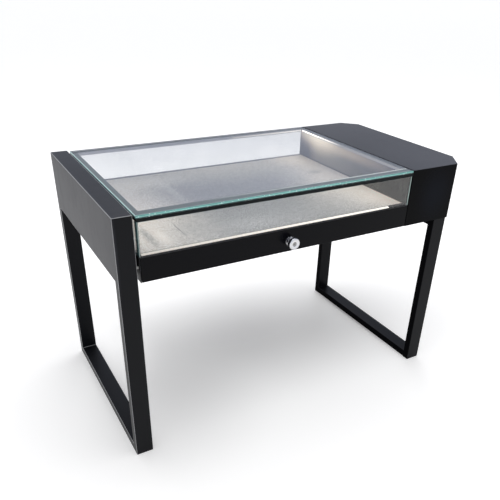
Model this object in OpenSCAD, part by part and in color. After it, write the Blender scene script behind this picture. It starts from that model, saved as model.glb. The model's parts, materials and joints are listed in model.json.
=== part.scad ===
// Jewellery showcase: a table with a glass display case, a pull-out display tray and a closed cabinet.
// Lengths are in millimetres. The row origin is on the floor, at the middle of the bounding box.
// The sub-parts are drawn from the front left floor corner, with X to the right and Y to the rear.

/* [Overall] */
// Width over the left frame and the cabinet
width = 1200; // [1100:10:1400]
// Depth from the front faces to the rear faces
depth = 635; // [600:5:700]
// Height of the glass top and the cabinet top above the floor
case_top = 761; // [740:1:900]
// How far the left frame stands above the glass top
left_rise = 3; // [0:0.5:6]

/* [Leg frames] */
// Width of the folded leg tubes, across the table
leg_w = 52; // [44:1:60]
// Thickness of the leg tubes, front to back
leg_t = 26; // [22:1:32]
// Wall of the leg tubes
tube_wall = 1.5; // [1.2:0.1:2]
// Outside corner radius of the leg tubes
tube_r = 1; // [0.8:0.1:1.2]
// Height of the left side beam that joins the legs at the top
beam_h = 179; // [160:1:190]
// Distance from the cabinet's right side to the right leg frame
right_leg_inset = 57; // [54:1:80]
// How far the right leg frame stands behind the cabinet's front and rear faces
right_leg_setback = 1; // [0.5:0.5:5]
// Height of the glide flange under each leg
glide_h = 2; // [1.5:0.5:4]

/* [Cabinet] */
// Width of the cabinet
cabinet_w = 242; // [200:1:300]
// Height of the cabinet
cabinet_h = 184; // [175:1:195]
// Front chamfer measured across the table
front_chamfer_x = 52; // [30:1:54]
// Front chamfer measured front to back
front_chamfer_y = 72; // [40:1:90]
// Rear chamfer measured across the table
rear_chamfer_x = 53; // [30:1:54]
// Rear chamfer measured front to back
rear_chamfer_y = 50; // [30:1:90]
// Sheet thickness of the cabinet and of the case
sheet = 1.5; // [1.2:0.1:1.6]
// Thickness of the cabinet floor plate
cabinet_floor_t = 2; // [1.5:0.5:3]

/* [Glass] */
// Thickness of the glass top
top_glass = 8; // [6:1:10]
// Thickness of the side, rear and front panes
pane = 6; // [5:1:6]

/* [Case] */
// Gap between the left frame and the glass case
frame_gap = 8; // [6:1:12]
// Height of the border rails under the glass top
rail_h = 9; // [8:1:12]
// Width of the front border rail
front_rail_w = 36; // [30:1:50]
// Width of the rear border rail
rear_rail_w = 29; // [24:1:50]
// Width of the left border rail
left_rail_w = 18; // [18:1:34]
// Width of the right border rail
right_rail_w = 10; // [9:1:16]
// Thickness of the clad lining panel on the cabinet side
liner_t = 6; // [5:1:8]

/* [Display tray] */
// Height of the black tray front
tray_front_h = 69; // [66:1:72]
// Depth of the folded edges of the tray front
tray_front_t = 16; // [14:1:18]
// Thickness of the deck panel
deck_t = 6; // [5:1:8]
// Gap round the deck, and at the ends of the tray front
tray_gap = 2; // [1.5:0.5:3]
// How far the tray pulls out
travel = 480; // [300:10:490]
// Height of the telescopic slides
slide_h = 45; // [40:1:46]
// Thickness of a telescopic slide
slide_t = 12.7; // [12:0.1:14]

/* [Knob lock] */
// Diameter of the fluted knob head
knob_d = 34; // [28:1:40]
// Length of the knob in front of the tray front
knob_out = 30; // [26:1:40]
// Thickness of the knob head
knob_head_t = 14; // [10:1:16]
// Diameter of the key plug
plug_d = 12; // [10:1:13]
// Diameter of the lock barrel behind the knob
barrel_d = 18; // [17:1:20]
// Length of the cam from the lock axis
cam_l = 26; // [24:1:28]

/* [Lights] */
// Width of the light bars
light_w = 9; // [8:1:12]
// Length of the lens in the rear light bar
rear_light_l = 300; // [200:10:400]
// Length of the lens in the foot light bar
foot_light_l = 818; // [600:1:840]

/* [Hidden] */
$fn = 48;
// Clearance between pieces that are pushed together by hand
fit = 0.3;
// Running clearance of the key plug in its bore
running = 0.05;
// Clearance between the nested members of a slide
slide_clear = 0.5;
// Cut allowance, so that holes pass right through
cut = 1;
// How far the panes and the deck's channel walls stand in from the piece beside them
seat_wall = 1;
// Height of the pane seats above the tray front's top edge
seat_lift = 4;

height = case_top + left_rise;
front_y = (knob_out - depth) / 2;
case_x = leg_w + frame_gap;
cabinet_x = width - cabinet_w;
under_z = case_top - cabinet_h;
beam_z = height - beam_h;

// Heights in the glass case
glass_z = case_top - top_glass;
rail_z = glass_z - rail_h;
rail_flange_z = under_z + tray_front_h + seat_lift;
tray_front_z = under_z + tray_gap / 2;
tray_top_z = under_z + tray_front_h;
deck_z = tray_top_z + deck_t;

// Places across the table
liner_x = cabinet_x - liner_t;
pane_x = case_x + seat_wall;
left_slide_x = case_x + sheet;
left_side_x = left_slide_x + slide_t;
right_slide_x = liner_x - slide_t;
right_side_x = right_slide_x - sheet;
deck_x0 = pane_x + pane + tray_gap;
deck_x1 = liner_x - tray_gap;
tray_x0 = case_x + sheet + tray_gap * 0.75;
tray_x1 = cabinet_x - tray_gap;

// Places front to back
rear_pane_setback = 3;
rear_pane_y = depth - rear_pane_setback - pane;
pane_flange_w = 11;
deck_y1 = rear_pane_y - 2 * tray_gap;
front_pane_y = 2;
channel_y0 = front_pane_y - seat_wall;
channel_y1 = front_pane_y + pane + seat_wall;
channel_base_t = 1.5;
foot_bar_w = 13.5;
foot_bar_y1 = channel_y1 + foot_bar_w;

// Folded members of the tray
side_flange_w = 16;
end_flange_w = 16;
member_lift = 15;
deck_overhang = 22;
member_y = tray_front_t;
member_z0 = under_z + member_lift;
side_y0 = member_y + sheet;
side_y1 = deck_y1 - deck_overhang;
slide_y = 24;

// Slide sections
slide_l = travel + 20;
slide_lift = 12;
slide_z = under_z + slide_lift;
slide_gap = 1.5;
member_wall = 1.2;
middle_inset = member_wall + slide_clear;
inner_inset = 2 * middle_inset;

// Lock
knob_x = (case_x + cabinet_x) / 2;
knob_z = under_z + tray_front_h / 2;
barrel_end_y = 21;
cam_y = 22.5;
cam_t = 2;
strike_y = 20;
strike_h = 13.5;
tail_w = 7;

// Light bars in the border frame, with their lens set back behind the channel's lips
light_wall = 1.2;
light_cap_t = 1;
lens_setback = 0.2;
lens_depth = 3;
light_end_gap = 2;
side_light_x = cabinet_x - right_rail_w;
side_light_y0 = front_rail_w + light_end_gap;
side_light_y1 = depth - rear_rail_w - light_end_gap;
rear_light_x0 = case_x + left_rail_w + light_end_gap;
rear_light_x1 = side_light_x - light_w - light_end_gap;
rear_light_y1 = depth - rear_rail_w + light_w;
rear_lens_x1 = rear_light_x1 - light_cap_t;
rear_lens_x0 = rear_lens_x1 - rear_light_l;

// Foot light bar, with a lens that slopes down to the front pane
foot_wall = 1;
foot_lens_t = 1.5;
foot_front_z = tray_top_z + 2.5;
foot_lens_x1 = deck_x0 + foot_light_l;

// Right leg frame
right_leg_x = width - right_leg_inset - leg_w;
right_front_y = right_leg_setback;
right_rear_y = depth - right_leg_setback - leg_t;

// Glides
glide_plug_l = 15;

// Fasteners
bolt_d = 5;
bolt_head_d = 8.5;
bolt_head_h = 2.8;
leg_bolt_d = 6;
leg_bolt_head_d = 10;
leg_bolt_head_h = 4;
screw_d = 3;
screw_head_d = 6;
screw_head_h = 1.8;
screw_tail = 3;
stud_spigot_l = 12;
bumper_d = 8;
bumper_z = knob_z + 6;
liner_skin = 0.5;
side_bolt_z = rail_flange_z - bolt_head_d;
side_bolt_ys = [50, depth / 2 - 90, depth / 2 + 90, depth - 55];
stud_z = rail_z + rail_h / 2;
stud_ys = [100, depth / 2, depth - 100];
liner_bolt_ys = [60, depth / 2, depth - 80];
liner_bolt_zs = [under_z + 8, rail_z - 25];
leg_bolt_ys = [120, 250, depth - 250, depth - 120];

// Service cover under the cabinet, with the driver on it
cover_inset = 12;
cover_x0 = cabinet_x + cover_inset;
cover_w = 104;
cover_y0 = 170;
cover_l = 300;
cover_lip = 8;
driver_w = 46;
driver_l = 180;
driver_h = 30;
driver_x = cover_x0 + (cover_w - driver_w) / 2;
driver_setback = 92;
driver_y = cover_y0 + driver_setback;
ear_l = 12;
ear_t = 3;
ear_screw_inset = 10;
inlet_w = 26;
inlet_x = cover_x0 + (cover_w - inlet_w) / 2;
inlet_setback = 20;
inlet_y = cover_y0 + inlet_setback;

// Moves the drawing corner to its place in the row's frame
module placed() {
  translate([-width / 2, front_y, 0]) children();
}

// A box given by its low and high corners
module span(low, high) {
  translate(low) cube(high - low);
}

// A cylinder along Y, from y0 to y1
module rod_y(x, z, d, y0, y1) {
  translate([x, y1, z]) rotate([90, 0, 0]) cylinder(d = d, h = y1 - y0);
}

// A cylinder along X, from x0 to x1
module rod_x(y, z, d, x0, x1) {
  translate([x0, y, z]) rotate([0, 90, 0]) cylinder(d = d, h = x1 - x0);
}

// A cylinder along Z, from z0 to z1
module rod_z(x, y, d, z0, z1) {
  translate([x, y, z0]) cylinder(d = d, h = z1 - z0);
}

// A rectangle with rounded corners
module round_rect(w, h, r) {
  translate([r, 0]) square([w - 2 * r, h]);
  translate([0, r]) square([w, h - 2 * r]);
  for (x = [r, w - r], y = [r, h - r]) translate([x, y]) circle(r = r);
}

// Outline of a rectangular tube, as a wall
module tube_section(w, h) {
  difference() {
    round_rect(w, h, tube_r);
    translate([tube_wall, tube_wall]) square([w - 2 * tube_wall, h - 2 * tube_wall]);
  }
}

// A leg tube, closed at the top and open at the foot
module leg(x, y, top) {
  translate([x, y, glide_h]) linear_extrude(top - glide_h - tube_wall) tube_section(leg_w, leg_t);
  translate([x, y, top - tube_wall]) linear_extrude(tube_wall) round_rect(leg_w, leg_t, tube_r);
}

// A tube that runs front to back, h high
module bar_y(x, z, h, y0, y1) {
  translate([x, y1, z]) rotate([90, 0, 0]) linear_extrude(y1 - y0) tube_section(leg_w, h);
}

// Corner points of the cabinet, drawn in from its outside by the distance d
function chamfer_shift(cx, cy, d) = d * (sqrt(cx * cx + cy * cy) - cx) / cy;
function cabinet_outline(d) = let (
  front_x = chamfer_shift(front_chamfer_x, front_chamfer_y, d),
  front_side = chamfer_shift(front_chamfer_y, front_chamfer_x, d),
  rear_x = chamfer_shift(rear_chamfer_x, rear_chamfer_y, d),
  rear_side = chamfer_shift(rear_chamfer_y, rear_chamfer_x, d)
) [
  [cabinet_x + d, d],
  [width - front_chamfer_x - front_x, d],
  [width - d, front_chamfer_y + front_side],
  [width - d, depth - rear_chamfer_y - rear_side],
  [width - rear_chamfer_x - rear_x, depth - d],
  [cabinet_x + d, depth - d]
];

// One telescopic slide member: a channel with its web at x and its flanges reaching to x + reach
module slide_member(x, reach, inset, y) {
  low = slide_z + inset;
  high = slide_z + slide_h - inset;
  web = reach > 0 ? x : x - member_wall;
  flange = min(x, x + reach);
  span([web, y, low], [web + member_wall, y + slide_l, high]);
  span([flange, y, low], [flange + abs(reach), y + slide_l, low + member_wall]);
  span([flange, y, high - member_wall], [flange + abs(reach), y + slide_l, high]);
}

// Legs and bars of the left frame
module left_front_leg() {
  color([0.13, 0.13, 0.14]) placed() leg(0, 0, height);
}

module left_rear_leg() {
  color([0.13, 0.13, 0.14]) placed() leg(0, depth - leg_t, height);
}

module left_side_beam() {
  color([0.26, 0.27, 0.3]) placed() difference() {
    bar_y(0, beam_z, beam_h, leg_t, depth - leg_t);
    for (y = side_bolt_ys) rod_x(y, side_bolt_z, bolt_d + fit, leg_w - 2 * tube_wall, leg_w + cut);
  }
}

module left_foot_bar() {
  color([0.2, 0.21, 0.24]) placed() bar_y(0, glide_h, leg_t, leg_t, depth - leg_t);
}

// Legs and bars of the right frame
module right_front_leg() {
  color([0.13, 0.13, 0.14]) placed() leg(right_leg_x, right_front_y, under_z);
}

module right_rear_leg() {
  color([0.13, 0.13, 0.14]) placed() leg(right_leg_x, right_rear_y, under_z);
}

module right_foot_bar() {
  color([0.2, 0.21, 0.24]) placed()
    bar_y(right_leg_x, glide_h, leg_t, right_front_y + leg_t, right_rear_y);
}

module right_top_bar() {
  color([0.15, 0.15, 0.16]) placed() difference() {
    bar_y(right_leg_x, under_z - leg_t, leg_t, right_front_y + leg_t, right_rear_y);
    for (y = leg_bolt_ys)
      rod_z(right_leg_x + leg_w / 2, y, leg_bolt_d + fit, under_z - 2 * tube_wall, under_z + cut);
  }
}

// Plastic insert in the foot of each leg, with the flange that stands on the floor
module leg_glides() {
  inset = tube_wall + fit / 2;
  color([0.1, 0.1, 0.1]) placed()
    for (leg_at = [[0, 0], [0, depth - leg_t], [right_leg_x, right_front_y], [right_leg_x, right_rear_y]]) {
      x = leg_at[0];
      y = leg_at[1];
      span([x + tube_r, y + tube_r, 0], [x + leg_w - tube_r, y + leg_t - tube_r, glide_h]);
      span([x + inset, y + inset, glide_h], [x + leg_w - inset, y + leg_t - inset, glide_h + glide_plug_l]);
    }
}

// Cabinet: a top plate, a sheet folded round five sides, and a wall against the case
module cabinet_top() {
  color([0.24, 0.24, 0.27]) placed()
    translate([0, 0, case_top - sheet]) linear_extrude(sheet) polygon(cabinet_outline(0));
}

module cabinet_wrap() {
  color([0.2, 0.2, 0.23]) placed()
    translate([0, 0, under_z]) linear_extrude(cabinet_h - sheet) difference() {
      polygon(cabinet_outline(0));
      polygon(cabinet_outline(sheet));
      translate([cabinet_x - cut, sheet]) square([cut + 2 * sheet, depth - 2 * sheet]);
    }
}

module cabinet_inner_wall() {
  color([0.2, 0.2, 0.22]) placed() difference() {
    span([cabinet_x, sheet, under_z], [cabinet_x + sheet, depth - sheet, case_top - sheet]);
    for (y = liner_bolt_ys, z = liner_bolt_zs)
      rod_x(y, z, bolt_d + fit, cabinet_x - cut, cabinet_x + sheet + cut);
  }
}

module cabinet_floor() {
  color([0.2, 0.2, 0.22]) placed() difference() {
    translate([0, 0, under_z]) linear_extrude(cabinet_floor_t) polygon(cabinet_outline(sheet + fit / 2));
    span([cover_x0 + cover_lip, cover_y0 + cover_lip, under_z - cut],
         [cover_x0 + cover_w - cover_lip, cover_y0 + cover_l - cover_lip, under_z + cabinet_floor_t + cut]);
    for (y = leg_bolt_ys)
      rod_z(right_leg_x + leg_w / 2, y, leg_bolt_d + fit, under_z - cut, under_z + cabinet_floor_t + cut);
    cover_screw_places(screw_d + fit, under_z - cut, under_z + cabinet_floor_t + cut);
  }
}

// Rods at the four screws of the service cover
module cover_screw_places(d, z0, z1) {
  for (x = [cover_x0 + cover_lip / 2, cover_x0 + cover_w - cover_lip / 2],
       y = [cover_y0 + cover_lip / 2, cover_y0 + cover_l - cover_lip / 2])
    rod_z(x, y, d, z0, z1);
}

// Cover plate under the cabinet floor that carries the driver
module service_cover() {
  color([0.3, 0.3, 0.32]) placed() difference() {
    span([cover_x0, cover_y0, under_z - sheet], [cover_x0 + cover_w, cover_y0 + cover_l, under_z]);
    cover_screw_places(screw_d + fit, under_z - sheet - cut, under_z + cut);
    driver_screw_places(screw_d + fit, under_z - sheet - cut, under_z + cut);
    span([inlet_x - fit, inlet_y - fit, under_z - sheet - cut],
         [inlet_x + inlet_w + fit, inlet_y + inlet_w + fit, under_z + cut]);
  }
}

// Screws that hold the cover, and the driver on it
module cover_screws() {
  head_z = under_z - sheet;
  color([0.6, 0.6, 0.62]) placed() {
    cover_screw_places(screw_head_d, head_z - screw_head_h, head_z);
    cover_screw_places(screw_d, head_z, under_z + cabinet_floor_t + screw_tail);
    driver_screw_places(screw_head_d, head_z - screw_head_h, head_z);
    driver_screw_places(screw_d, head_z, under_z + ear_t + screw_tail);
  }
}

// Low-voltage driver with a fixing ear at each end
module led_driver() {
  color([0.85, 0.86, 0.87]) placed() difference() {
    union() {
      span([driver_x, driver_y, under_z], [driver_x + driver_w, driver_y + driver_l, under_z + driver_h]);
      span([driver_x, driver_y - ear_l, under_z],
           [driver_x + driver_w, driver_y + driver_l + ear_l, under_z + ear_t]);
    }
    driver_screw_places(screw_d + fit, under_z - cut, under_z + ear_t + cut);
  }
}

module driver_screw_places(d, z0, z1) {
  for (x = [driver_x + ear_screw_inset, driver_x + driver_w - ear_screw_inset],
       y = [driver_y - ear_l / 2, driver_y + driver_l + ear_l / 2])
    rod_z(x, y, d, z0, z1);
}

module terminal_block() {
  block_l = 24;
  block_h = 14;
  block_gap = 4;
  ways = 4;
  way_pitch = 11;
  well_d = 5;
  well_floor = 8;
  x = driver_x;
  y = driver_y - ear_l - block_l - block_gap;
  color([0.9, 0.9, 0.88]) placed() difference() {
    span([x, y, under_z], [x + ways * way_pitch, y + block_l, under_z + block_h]);
    for (i = [0 : ways - 1])
      rod_z(x + (i + 0.5) * way_pitch, y + block_l / 2, well_d,
            under_z + well_floor, under_z + block_h + cut);
  }
}

// Mains inlet in the cover, with its socket well open downwards
module power_inlet() {
  inlet_h = 22;
  bezel_w = 3;
  bezel_t = 2;
  well_d = 18;
  well_h = 16;
  bezel_z = under_z - sheet - bezel_t;
  color([0.08, 0.08, 0.08]) placed() difference() {
    union() {
      span([inlet_x, inlet_y, under_z - sheet], [inlet_x + inlet_w, inlet_y + inlet_w, under_z + inlet_h]);
      span([inlet_x - bezel_w, inlet_y - bezel_w, bezel_z],
           [inlet_x + inlet_w + bezel_w, inlet_y + inlet_w + bezel_w, under_z - sheet]);
    }
    rod_z(inlet_x + inlet_w / 2, inlet_y + inlet_w / 2, well_d, bezel_z - cut, under_z + well_h);
  }
}

// Bolts that hold the right leg frame to the cabinet floor
module leg_frame_bolts() {
  shank_l = 16;
  color([0.55, 0.55, 0.57]) placed() for (y = leg_bolt_ys) {
    x = right_leg_x + leg_w / 2;
    top = under_z + cabinet_floor_t;
    rod_z(x, y, leg_bolt_head_d, top, top + leg_bolt_head_h);
    rod_z(x, y, leg_bolt_d, top - shank_l, top);
  }
}

// Folded rails that close the case below the glass, and the floor under the tray
module case_left_rail() {
  color([0.14, 0.14, 0.15]) placed() difference() {
    union() {
      span([case_x, 0, under_z], [case_x + sheet, depth - sheet, rail_flange_z]);
      span([case_x, channel_y1, rail_flange_z - sheet],
           [pane_x + pane + seat_wall / 2, depth - pane_flange_w, rail_flange_z]);
    }
    for (y = side_bolt_ys) rod_x(y, side_bolt_z, bolt_d + fit, case_x - cut, case_x + sheet + cut);
  }
}

module case_rear_rail() {
  color([0.14, 0.14, 0.15]) placed() {
    span([case_x, depth - sheet, under_z], [cabinet_x, depth, rail_flange_z]);
    span([case_x + sheet, depth - pane_flange_w, rail_flange_z - sheet], [liner_x, depth, rail_flange_z]);
  }
}

module case_floor() {
  color([0.16, 0.16, 0.17]) placed()
    span([case_x + sheet, tray_front_t + tray_gap, under_z], [cabinet_x, depth - sheet, under_z + sheet]);
}

// Strike that the cam turns down behind
module lock_strike() {
  strike_w = 36;
  strike_foot_l = 20;
  x = knob_x - strike_w / 2;
  z = under_z + sheet;
  color([0.6, 0.6, 0.62]) placed() {
    span([x, strike_y, z], [x + strike_w, strike_y + sheet, z + strike_h]);
    span([x, strike_y, z], [x + strike_w, strike_y + strike_foot_l, z + sheet]);
  }
}

// Sleeves, bolts, studs and bumpers in the gap beside the left frame
module frame_sleeves() {
  sleeve_wall = 2.5;
  color([0.5, 0.5, 0.52]) placed() for (y = side_bolt_ys) difference() {
    rod_x(y, side_bolt_z, bolt_d + 2 * sleeve_wall, leg_w, case_x);
    rod_x(y, side_bolt_z, bolt_d + fit, leg_w - cut, case_x + cut);
  }
}

// A bolt along X with its head from x on, and its shank reaching l to the left
module side_bolt(x, y, z, l) {
  rod_x(y, z, bolt_head_d, x, x + bolt_head_h);
  rod_x(y, z, bolt_d, x - l, x);
}

// Bolts that hold the case to the left frame, and the cabinet to the case
module case_bolts() {
  frame_shank_l = 19;
  liner_shank_l = sheet + liner_t - 2 * liner_skin;
  color([0.55, 0.55, 0.57]) placed() {
    for (y = side_bolt_ys) side_bolt(case_x + sheet, y, side_bolt_z, frame_shank_l);
    for (y = liner_bolt_ys, z = liner_bolt_zs) side_bolt(cabinet_x + sheet, y, z, liner_shank_l);
  }
}

module rail_studs() {
  color([0.5, 0.5, 0.52]) placed() for (y = stud_ys) {
    rod_x(y, stud_z, rail_h - 1, leg_w, case_x);
    rod_x(y, stud_z, bolt_d, case_x, case_x + stud_spigot_l);
  }
}

module gap_bumpers() {
  color([0.92, 0.92, 0.9]) placed()
    for (y = [leg_t / 2, depth - leg_t / 2]) rod_x(y, bumper_z, bumper_d, leg_w, case_x);
}

// Clad panel that lines the cabinet side of the case
module right_liner() {
  color([0.72, 0.7, 0.67]) placed() difference() {
    union() {
      span([liner_x, tray_front_t + tray_gap, under_z + sheet], [cabinet_x, rear_pane_y + pane, rail_z]);
      span([liner_x, channel_y1 + seat_wall, rail_flange_z], [cabinet_x, tray_front_t + tray_gap, rail_z]);
    }
    for (y = liner_bolt_ys, z = liner_bolt_zs)
      rod_x(y, z, bolt_d + fit, liner_x + liner_skin, cabinet_x + cut);
  }
}

// Border frame under the glass top
module top_front_rail() {
  color([0.14, 0.15, 0.16]) placed() span([case_x, 0, rail_z], [cabinet_x, front_rail_w, glass_z]);
}

module top_rear_rail() {
  color([0.14, 0.15, 0.16]) placed() difference() {
    span([case_x, depth - rear_rail_w, rail_z], [cabinet_x, depth, glass_z]);
    span([rear_light_x0 - light_end_gap / 2, depth - rear_rail_w - cut, rail_z - cut],
         [rear_light_x1 + light_end_gap / 2, rear_light_y1, glass_z + cut]);
  }
}

module top_left_rail() {
  color([0.14, 0.15, 0.16]) placed() difference() {
    span([case_x, front_rail_w, rail_z], [case_x + left_rail_w, depth - rear_rail_w, glass_z]);
    for (y = stud_ys) rod_x(y, stud_z, bolt_d + fit, case_x - cut, case_x + stud_spigot_l + cut);
  }
}

module top_right_rail() {
  color([0.5, 0.5, 0.55]) placed()
    span([cabinet_x - right_rail_w, front_rail_w, rail_z], [cabinet_x, depth - rear_rail_w, glass_z]);
}

// Fixed glass
module glass_top() {
  glass_gap = 0.5;
  color([0.6, 0.85, 0.8, 0.35]) placed()
    span([case_x, 0, glass_z], [cabinet_x - glass_gap, depth, case_top]);
}

module left_pane() {
  color([0.7, 0.88, 0.85, 0.35]) placed()
    span([pane_x, channel_y1 + seat_wall, rail_flange_z], [pane_x + pane, rear_pane_y + pane, rail_z]);
}

module rear_pane() {
  color([0.8, 0.88, 0.92, 0.35]) placed()
    span([pane_x + pane, rear_pane_y, rail_flange_z], [liner_x, rear_pane_y + pane, rail_z]);
}

// Light bars beside the right rail and in the rear rail: a channel, and the lens behind its lips
module side_light_profile() {
  color([0.8, 0.8, 0.82]) placed() difference() {
    span([side_light_x - light_w, side_light_y0, rail_z], [side_light_x, side_light_y1, glass_z]);
    span([side_light_x - light_w - cut, side_light_y0 + light_cap_t, rail_z + light_wall],
         [side_light_x - light_wall, side_light_y1 - light_cap_t, glass_z - light_wall]);
  }
}

module side_light_lens() {
  x = side_light_x - light_w + lens_setback;
  color([1, 0.93, 0.8]) placed()
    span([x, side_light_y0 + light_cap_t, rail_z + light_wall],
         [x + lens_depth, side_light_y1 - light_cap_t, glass_z - light_wall]);
}

module rear_light_profile() {
  color([0.8, 0.8, 0.82]) placed() difference() {
    span([rear_light_x0, rear_light_y1 - light_w, rail_z], [rear_light_x1, rear_light_y1, glass_z]);
    span([rear_lens_x0, rear_light_y1 - light_w - cut, rail_z + light_wall],
         [rear_lens_x1, rear_light_y1 - light_wall, glass_z - light_wall]);
    span([rear_light_x0 + light_cap_t, rear_light_y1 - light_w + light_wall, rail_z + light_wall],
         [rear_lens_x1, rear_light_y1 - light_wall, glass_z - light_wall]);
  }
}

module rear_light_lens() {
  y = rear_light_y1 - light_w + lens_setback;
  color([1, 0.93, 0.8]) placed()
    span([rear_lens_x0, y, rail_z + light_wall], [rear_lens_x1, y + lens_depth, glass_z - light_wall]);
}

// Telescopic slides: the outer members stay on the case, the inner ones go with the tray
module left_slide_outer() {
  color([0.7, 0.71, 0.72]) placed() slide_member(left_slide_x, slide_t - slide_gap, 0, slide_y);
}

module right_slide_outer() {
  color([0.7, 0.71, 0.72]) placed() slide_member(liner_x, slide_gap - slide_t, 0, slide_y);
}

module left_slide_middle() {
  color([0.66, 0.67, 0.68]) placed()
    slide_member(left_slide_x + middle_inset, slide_t - middle_inset - slide_gap, middle_inset, slide_y);
}

module right_slide_middle() {
  color([0.66, 0.67, 0.68]) placed()
    slide_member(liner_x - middle_inset, slide_gap + middle_inset - slide_t, middle_inset, slide_y);
}

module left_slide_inner() {
  color([0.74, 0.75, 0.76]) placed()
    slide_member(left_side_x, inner_inset - slide_t, inner_inset, slide_y);
}

module right_slide_inner() {
  color([0.74, 0.75, 0.76]) placed()
    slide_member(right_slide_x, slide_t - inner_inset, inner_inset, slide_y);
}

// Folded front of the display tray
module tray_front() {
  color([0.1, 0.1, 0.11]) placed() difference() {
    span([tray_x0, 0, tray_front_z], [tray_x1, tray_front_t, tray_top_z]);
    span([tray_x0 + sheet, sheet, tray_front_z + sheet],
         [tray_x1 - sheet, tray_front_t + cut, tray_top_z - sheet]);
    rod_y(knob_x, knob_z, barrel_d + fit, -cut, tray_front_t);
  }
}

// Channel behind the front, with the hole for the lock barrel
module tray_front_member() {
  color([0.6, 0.6, 0.62]) placed() difference() {
    union() {
      span([left_side_x, member_y, member_z0], [right_slide_x, member_y + sheet, tray_top_z]);
      span([left_side_x + sheet, member_y, tray_top_z - sheet],
           [right_side_x, member_y + end_flange_w, tray_top_z]);
    }
    rod_y(knob_x, knob_z, barrel_d + fit, member_y - cut, member_y + sheet + cut);
  }
}

// A side channel of the tray: web at x0, flanges towards the middle of the tray
module tray_side(x0, flange_to) {
  flange_low = min(x0, flange_to);
  flange_high = max(x0 + sheet, flange_to);
  span([x0, side_y0, member_z0], [x0 + sheet, side_y1, tray_top_z]);
  span([flange_low, member_y + end_flange_w, tray_top_z - sheet], [flange_high, side_y1, tray_top_z]);
  span([flange_low, side_y0, member_z0], [flange_high, side_y1, member_z0 + sheet]);
}

module tray_left_side() {
  color([0.6, 0.6, 0.62]) placed() tray_side(left_side_x, left_side_x + side_flange_w);
}

module tray_right_side() {
  color([0.6, 0.6, 0.62]) placed() tray_side(right_side_x, right_slide_x - side_flange_w);
}

module tray_rear_member() {
  color([0.6, 0.6, 0.62]) placed() {
    span([left_side_x, side_y1, member_z0], [right_slide_x, side_y1 + sheet, tray_top_z]);
    span([left_side_x, side_y1, tray_top_z - sheet], [right_slide_x, side_y1 + end_flange_w, tray_top_z]);
  }
}

// Flat bars that carry the deck between the side channels
module deck_cross_bars() {
  bars = 3;
  bar_w = 30;
  bar_t = 6;
  pitch = (side_y1 - side_y0) / (bars + 1);
  color([0.58, 0.58, 0.6]) placed() for (i = [1 : bars])
    span([left_side_x + side_flange_w, side_y0 + i * pitch - bar_w / 2, tray_top_z - bar_t],
         [right_slide_x - side_flange_w, side_y0 + i * pitch + bar_w / 2, tray_top_z]);
}

module display_deck() {
  color([0.73, 0.71, 0.68]) placed() span([deck_x0, foot_bar_y1, tray_top_z], [deck_x1, deck_y1, deck_z]);
}

// Channel on the tray front that holds the foot of the front pane
module pane_channel() {
  color([0.2, 0.2, 0.21]) placed() difference() {
    span([tray_x0, channel_y0, tray_top_z], [tray_x1, channel_y1, rail_flange_z]);
    span([tray_x0 - cut, front_pane_y, tray_top_z + channel_base_t],
         [tray_x1 + cut, front_pane_y + pane, rail_flange_z + cut]);
  }
}

module front_pane() {
  color([0.65, 0.88, 0.84, 0.35]) placed()
    span([tray_x0, front_pane_y, tray_top_z + channel_base_t],
         [tray_x1, front_pane_y + pane, rail_z - seat_wall]);
}

// Pulls a section drawn as Y and Z along X, from x0 to x1
module along_x(x0, x1) {
  translate([x0, 0, 0]) rotate([90, 0, 90]) linear_extrude(x1 - x0) children();
}

// Light bar along the foot of the front pane, with a plain end past the lens
module foot_light_profile() {
  y0 = channel_y1 + foot_wall;
  y1 = foot_bar_y1 - foot_wall;
  color([0.8, 0.79, 0.76]) placed() difference() {
    along_x(deck_x0, deck_x1)
      polygon([[channel_y1, tray_top_z], [foot_bar_y1, tray_top_z], [foot_bar_y1, deck_z],
               [y1, deck_z], [y0, foot_front_z], [channel_y1, foot_front_z]]);
    span([deck_x0 + foot_wall, y0, tray_top_z + foot_wall], [foot_lens_x1, y1, deck_z + cut]);
  }
}

module foot_light_lens() {
  y0 = channel_y1 + foot_wall;
  y1 = foot_bar_y1 - foot_wall;
  color([1, 0.94, 0.84]) placed() along_x(deck_x0 + foot_wall, foot_lens_x1)
    polygon([[y0, foot_front_z - foot_lens_t], [y1, deck_z - foot_lens_t],
             [y1, deck_z], [y0, foot_front_z]]);
}

// Knob with its barrel, turned from one piece and bored for the key plug
module knob_body() {
  flutes = 24;
  flute_d = 2.4;
  neck_d = 22;
  rosette_d = 26;
  rosette_t = 3;
  rim_t = 2;
  color([0.85, 0.86, 0.88]) placed() difference() {
    union() {
      rod_y(knob_x, knob_z, knob_d, -knob_out, -knob_out + knob_head_t);
      rod_y(knob_x, knob_z, neck_d, -knob_out + knob_head_t, -rosette_t);
      rod_y(knob_x, knob_z, rosette_d, -rosette_t, 0);
      rod_y(knob_x, knob_z, barrel_d, 0, barrel_end_y);
    }
    rod_y(knob_x, knob_z, plug_d + 2 * running, -knob_out - cut, barrel_end_y + cut);
    for (i = [0 : flutes - 1]) {
      turn = i * 360 / flutes;
      rod_y(knob_x + knob_d / 2 * cos(turn), knob_z + knob_d / 2 * sin(turn), flute_d,
            -knob_out + rim_t, -knob_out + knob_head_t + cut);
    }
  }
}

module lock_nut() {
  nut_across = 26;
  nut_t = 2;
  color([0.7, 0.7, 0.72]) placed() translate([knob_x, side_y0 + nut_t, knob_z]) rotate([90, 0, 0])
    difference() {
      cylinder(d = nut_across, h = nut_t, $fn = 6);
      translate([0, 0, -cut]) cylinder(d = barrel_d, h = nut_t + 2 * cut, $fn = 48);
    }
}

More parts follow.
